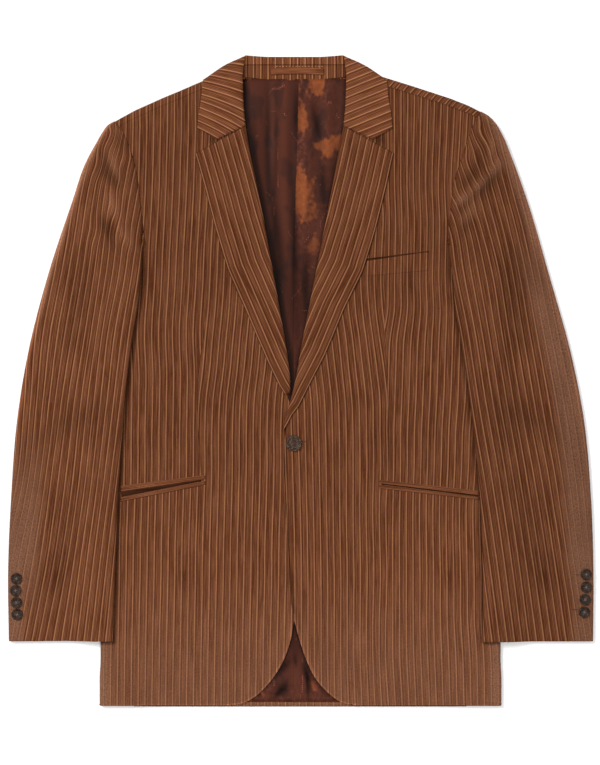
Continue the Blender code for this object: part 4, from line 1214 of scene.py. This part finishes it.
def sleeve_turns(rows, index):
    """Share of a sleeve row that each of its two folds takes, more where the row runs aslant."""
    row, after = rows[index], rows[min(index + 1, len(rows) - 1)]
    before = rows[max(index - 1, 0)] if after is row else row
    run = Vector((row.outer_x - row.inner_x, row.outer_up - row.inner_up))
    down_in = Vector((after.inner_x - before.inner_x, after.inner_up - before.inner_up)).normalized()
    down_out = Vector((after.outer_x - before.outer_x, after.outer_up - before.outer_up)).normalized()
    way = run.normalized()
    return [SLEEVE_FOLD / (run.length * abs(way.cross(down))) for down in (down_in, down_out)]


def sleeve_wear_and_highlight(x, up):
    """A painted highlight on the ridges at its head, and faded pile under a painted sheen down its outer fold."""
    side, inside = side_of(x), from_fold(x, up)
    if side == "right":
        nap = (0.8 * ease(46, 26, inside) * hill(up - 215, 150) + 0.8 * ease(24, 10, inside) * ease(230, 110, up)
               + 0.75 * ease(8, 3, inside) * ease(430, 520, up))
    else:
        nap = (0.85 * ease(42, 22, inside) * ease(120, 190, up) * ease(600, 480, up)
               + 0.8 * ease(34, 14, inside) * ease(220, 110, up) + 0.75 * ease(16, 8, inside) * ease(500, 600, up))
    ridge = (0.4 if side == "left" else 0.2) * max(crease(x, up, SLEEVE_RIDGES[side]), 0.0)
    return min(max(nap, min(ridge, 0.65)), 1.0)


def sleeve_light_and_shade(x, up):
    """Painted shade in its hollows and along the armhole seam, painted light on its ridges and down
    its outer fold, the left sleeve painted a little darker all over, and paler towards the cuff.
    """
    side, inside = side_of(x), from_fold(x, up)
    value = 1.0 if side == "right" else 0.89
    value *= 1.0 + 0.2 * min(crease(x, up, SLEEVE_HOLLOWS[side]), 0.4)
    value *= 1.0 + 0.1 * max(crease(x, up, SLEEVE_RIDGES[side]), 0.0)
    value *= 1.0 - min(crease(x, up, SLEEVE_SHADE[side]), 0.5)
    value *= 1.0 + 0.16 * ease(13, 5, inside) * ease(480, 560, up)
    value *= 1.0 + (0.8 if side == "right" else 0.5) * ease(5.6, 1.4, inside) * ease(240, 400, up)
    value *= 1.0 - 0.12 * ease(2.0, 0.3, away_from(armholes[side], x, up))
    return value * (1.0 + 0.09 * ease(300, 60, up))


for side, sign in SIGN.items():
    rows, armhole = with_hem(finer(SLEEVE[side], 4.0)), armholes[side]
    stripes = finer(SLEEVE_STRIPES[side], 5.0)
    # Close rows beside the armhole, where the head rises steeply.
    rows[1:1] = [between(rows[0], rows[1], share) for share in (0.12, 0.3, 0.6)]
    upper, under = [], []
    for index, row in enumerate(rows):
        inner, outer = ends_of(row)
        fold_in, fold_out = sleeve_turns(rows, index)
        shares = ([fold_in * (1.0 - math.cos(angle)) for angle in TURNS] + even(38, fold_in, 1.0 - fold_out)
                  + [1.0 - fold_out * (1.0 - math.cos(angle)) for angle in reversed(TURNS)])
        tops, lows = [], []
        for k, share in enumerate(shares):
            on_hole = point_along(armhole, 1.0 - share)
            straight = between(armhole[-1], armhole[0], share)
            spot = inner.lerp(outer, share)
            spot += Vector((on_hole.x - straight.x, on_hole.up - straight.up)) * row.bow
            last = min(k, len(shares) - 1 - k)
            round_off = math.sin(TURNS[last]) if last < len(TURNS) else 1.0
            floor = sleeve_under(*spot)
            deep = (SLEEVE_DEEP + row.head * ease(-0.1, 0.9, share)) / 2.0
            inward = ease(0.0, 0.12, share) * ease(1.0, 0.88, share)
            fold = crease(*spot, SLEEVE_RIDGES[side] + SLEEVE_HOLLOWS[side]) * inward
            cuff = lip(spot.y - CUFF)
            spare = sign * (1.0 - round_off) * deep * 0.7 * (1.0 if share > 0.5 else -1.0)
            # It rises from the seam at the armhole, tucked just under the front's edge.
            top = floor + deep + SEAM / 2 + (deep - SEAM / 2) * round_off + fold - cuff
            rise = 1.0 - min(away_from(armhole, *spot) / HEAD_REACH, 1.0)
            if index == 0:
                spot.x -= sign * 0.9
            sewn = front_top(*spot, side) - 0.45
            tops.append(Spot(*spot, blend(sewn, top, math.sqrt(1.0 - rise * rise)), spare))
            lows.append(Spot(*spot, floor + (deep - SEAM / 2) * (1.0 - round_off), spare))
        upper.append(tops)
        under.append(lows)

    def sleeve_grain(x, up, middle, side=side, stripes=stripes):
        number = stripe_at(stripes, STRIPE_NUMBERS, range(1, 6), x, up)
        for centre, reach, more in GATHERS[side]:
            most = stripe_at(stripes, STRIPE_NUMBERS, range(1, 6), *centre)
            number += more * (number - most) * hill(math.dist((x, up), centre), reach)
        pulled = crease(x, up, SLEEVE_RIDGES[side]) * (-1.4 if side == "left" else 1.7)
        return number * PERIOD + pulled, up

    paint = {"wear_print_and_highlight": sleeve_wear_and_highlight, "painted_light_and_tone": sleeve_light_and_shade}
    cloth(f"upper_sleeve_{side}", upper, sleeve_grain, shoulder=True, **paint)
    cloth(f"under_sleeve_{side}", under, sleeve_grain, looks=-1, shoulder=True, **paint)


# ---------------------------------------------------------------- the buttons
# Four-hole buttons of dark mottled horn, one to close the fronts and four on each cuff,
# turned with a raised rim and sewn on with brown thread.

FRONT_BUTTON = Edge(CENTRE, 325)
FRONT_WIDE, CUFF_WIDE = 20.0, 14.0
CUFF_BUTTONS = {
    "right": table(Edge, (-349, 158.5), (-350, 143.8), (-349, 129.1), (-348, 114.4)),
    "left": table(Edge, (352, 163.5), (352, 148), (350.5, 132.6), (349.5, 117.2)),
}


def mottled_horn(name, depth):
    horn = Finish(name, Specular_IOR_Level=0.12)
    where = horn.place()
    x, y = horn.lengths(where)
    cloud = horn.noise(where, 260.0, 4.0, 0.6)
    # Pale veins that run aslant.
    vein = horn.cloud((y - x * 0.6) / 1.3, (x + y * 0.6) / 5.0, 3.0, 0.6)
    colour = horn.mix(cloud.rise(0.38, 0.62), (0.022, 0.0105, 0.0065), (0.062, 0.036, 0.024))
    colour = horn.mix(vein.rise(0.54, 0.64) * 0.5, colour, (0.21, 0.14, 0.098))
    return horn.finish(horn.scaled(colour, depth), 0.4 + cloud * 0.2, vein, 0.1, 0.0002)


horn, dark_horn = mottled_horn("mottled horn", 1.0), mottled_horn("dark mottled horn", 0.55)
thread = sewing_thread("brown thread", (0.035, 0.014, 0.008), (0.1, 0.045, 0.028))
grey_thread = sewing_thread("grey-brown thread", (0.08, 0.052, 0.042), (0.2, 0.14, 0.112))

# Shares of a button's radius: its plate, a hole in it and how far out that lies, a stitch.
PLATE, HOLE, HOLES_OUT, STITCH_LONG, STITCH_WIDE = 0.63, 0.095, 0.26, 0.36, 0.075
# Shares of its height: under the plate, the plate, up to the thread and half the thread.
PLATE_LOW, PLATE_DEEP, THREAD_AT, THREAD_DEEP = 0.22, 0.4, 0.66, 0.11
# Its rim, out from the middle and up, in both shares.
PROFILE = [(0.58, 0.1), (0.72, 0.0), (0.88, 0.12), (0.96, 0.3), (1.0, 0.55), (0.98, 0.78), (0.93, 0.93),
           (0.87, 1.0), (0.8, 0.98), (0.73, 0.88), (0.66, 0.7), (0.58, 0.6)]


def seat_at(x, up):
    """Face of the left front by the closing, or of a cuff."""
    return front_top(x, up, "left") if abs(x) < 100.0 else sleeve_under(x, up) + SLEEVE_DEEP


def button(node, spot, size, turn, stuff, sewn):
    """A rim turned from its profile, a plate with four holes in it, and two stitches across."""
    radius, rise = size / 2.0, size * 0.17
    base = seat_at(*spot) + SEAM
    mesh = bmesh.new()
    ring = [mesh.verts.new((share * radius * MM, 0.0, tall * rise * MM)) for share, tall in PROFILE]
    for start, end in zip(ring, ring[1:] + ring[:1]):
        mesh.edges.new((start, end))
    bmesh.ops.spin(mesh, geom=mesh.verts[:] + mesh.edges[:], cent=(0, 0, 0), axis=(0, 0, 1),
                   angle=math.tau, steps=40, use_merge=True)
    bmesh.ops.remove_doubles(mesh, verts=mesh.verts, dist=1e-6)
    plate = bmesh.new()
    bmesh.ops.create_circle(plate, cap_ends=False, radius=PLATE * radius * MM, segments=36)
    for angle in (45, 135, 225, 315):
        hole = bmesh.ops.create_circle(plate, cap_ends=False, radius=HOLE * radius * MM, segments=10)
        way = Vector((math.cos(math.radians(angle)), math.sin(math.radians(angle)), 0.0))
        bmesh.ops.translate(plate, verts=hole["verts"], vec=way * HOLES_OUT * radius * MM)
    bmesh.ops.triangle_fill(plate, use_beauty=True, edges=plate.edges[:], normal=(0, 0, 1))
    raised = bmesh.ops.extrude_face_region(plate, geom=plate.faces[:], use_keep_orig=True)
    bmesh.ops.translate(plate, verts=[v for v in raised["geom"] if isinstance(v, bmesh.types.BMVert)],
                        vec=(0, 0, PLATE_DEEP * rise * MM))
    bmesh.ops.translate(plate, verts=plate.verts, vec=(0, 0, PLATE_LOW * rise * MM))
    bmesh.ops.recalc_face_normals(plate, faces=plate.faces)
    part = mesh_data("plate", plate)
    mesh.from_mesh(part)
    bpy.data.meshes.remove(part)
    bmesh.ops.recalc_face_normals(mesh, faces=mesh.faces)
    bmesh.ops.rotate(mesh, verts=mesh.verts, cent=(0, 0, 0), matrix=Matrix.Rotation(turn, 3, "Z"))
    bmesh.ops.translate(mesh, verts=mesh.verts, vec=place(spot.x, spot.up, base))
    piece = solid(f"{node}_horn", mesh, stuff, "horn")
    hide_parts(node)
    stitches = bmesh.new()
    for angle in (45, 135):
        stitch(stitches, place(*spot, base + THREAD_AT * rise),
               (STITCH_LONG * radius, STITCH_WIDE * radius, THREAD_DEEP * rise), math.radians(angle) + turn, 14, 8)
    solid(f"{node}_thread", stitches, sewn, "corduroy")


# Close stitches that lie across the left front and the left cuff: their place, length and width,
# and how far above the cloth.
for name, x, up, long, wide, above in (
        ("front_buttonhole_eye", 3.0, 326.8, 2.6, 2.2, 0.1), ("front_buttonhole", 6.0, 327.0, 6.6, 1.1, 0.0),
        ("cuff_stitches_1", 338.0, 120.4, 10.0, 1.2, 0.0), ("cuff_stitches_2", 341.0, 163.4, 7.0, 0.8, -0.1)):
    mesh = bmesh.new()
    stitch(mesh, place(x, up, seat_at(x, up) + above), (long / 2.0, wide / 2.0, 0.35), 0.0, 16, 8)
    solid(name, mesh, thread, "corduroy")

button("front_button", FRONT_BUTTON, FRONT_WIDE, 0.35, horn, thread)
for side in SIGN:
    for number, spot in enumerate(CUFF_BUTTONS[side], 1):
        button(f"cuff_button_{side}_{number}", spot, CUFF_WIDE, 0.5 * number, dark_horn, grey_thread)


# ---------------------------------------------------------------- floor, light and camera
# A pale floor, a broad soft light overhead and a camera that looks straight down.

floor_mesh = bmesh.new()
bmesh.ops.create_grid(floor_mesh, x_segments=1, y_segments=1, size=6.0)
bmesh.ops.translate(floor_mesh, verts=floor_mesh.verts, vec=(0, 0, -0.0006))
floor = in_scene("floor", mesh_data("floor", floor_mesh))
paper = Finish("pale floor", Roughness=0.9)
paper.join(paper.shader.inputs["Base Color"], (0.97, 0.97, 0.97, 1.0))
floor.data.materials.append(paper.material)


def lamp(name, where, size, watts):
    light = bpy.data.lights.new(name, "AREA")
    light.shape, light.size, light.energy = "DISK", size, watts
    holder = in_scene(name, light)
    holder.location = where
    holder.rotation_euler = (-Vector(where)).to_track_quat("-Z", "Y").to_euler()


lamp("key", (-2.3, 1.7, 3.4), 1.5, 132.0)
lamp("overhead", (0.3, -0.3, 3.2), 2.6, 48.0)
world = bpy.context.scene.world or bpy.data.worlds.new("studio")
bpy.context.scene.world = world
world.use_nodes = True
sky = world.node_tree.nodes["Background"].inputs
sky["Color"].default_value, sky["Strength"].default_value = (1.0, 1.0, 1.0, 1.0), 0.45

lens = bpy.data.cameras.new("camera")
lens.lens, lens.sensor_width, lens.clip_start = 85.0, 36.0, 0.01
camera = in_scene("camera", lens)
camera.location = (-0.0002, -0.001, 2.23)
bpy.context.scene.camera = camera
bpy.context.scene.view_settings.view_transform = "Standard"
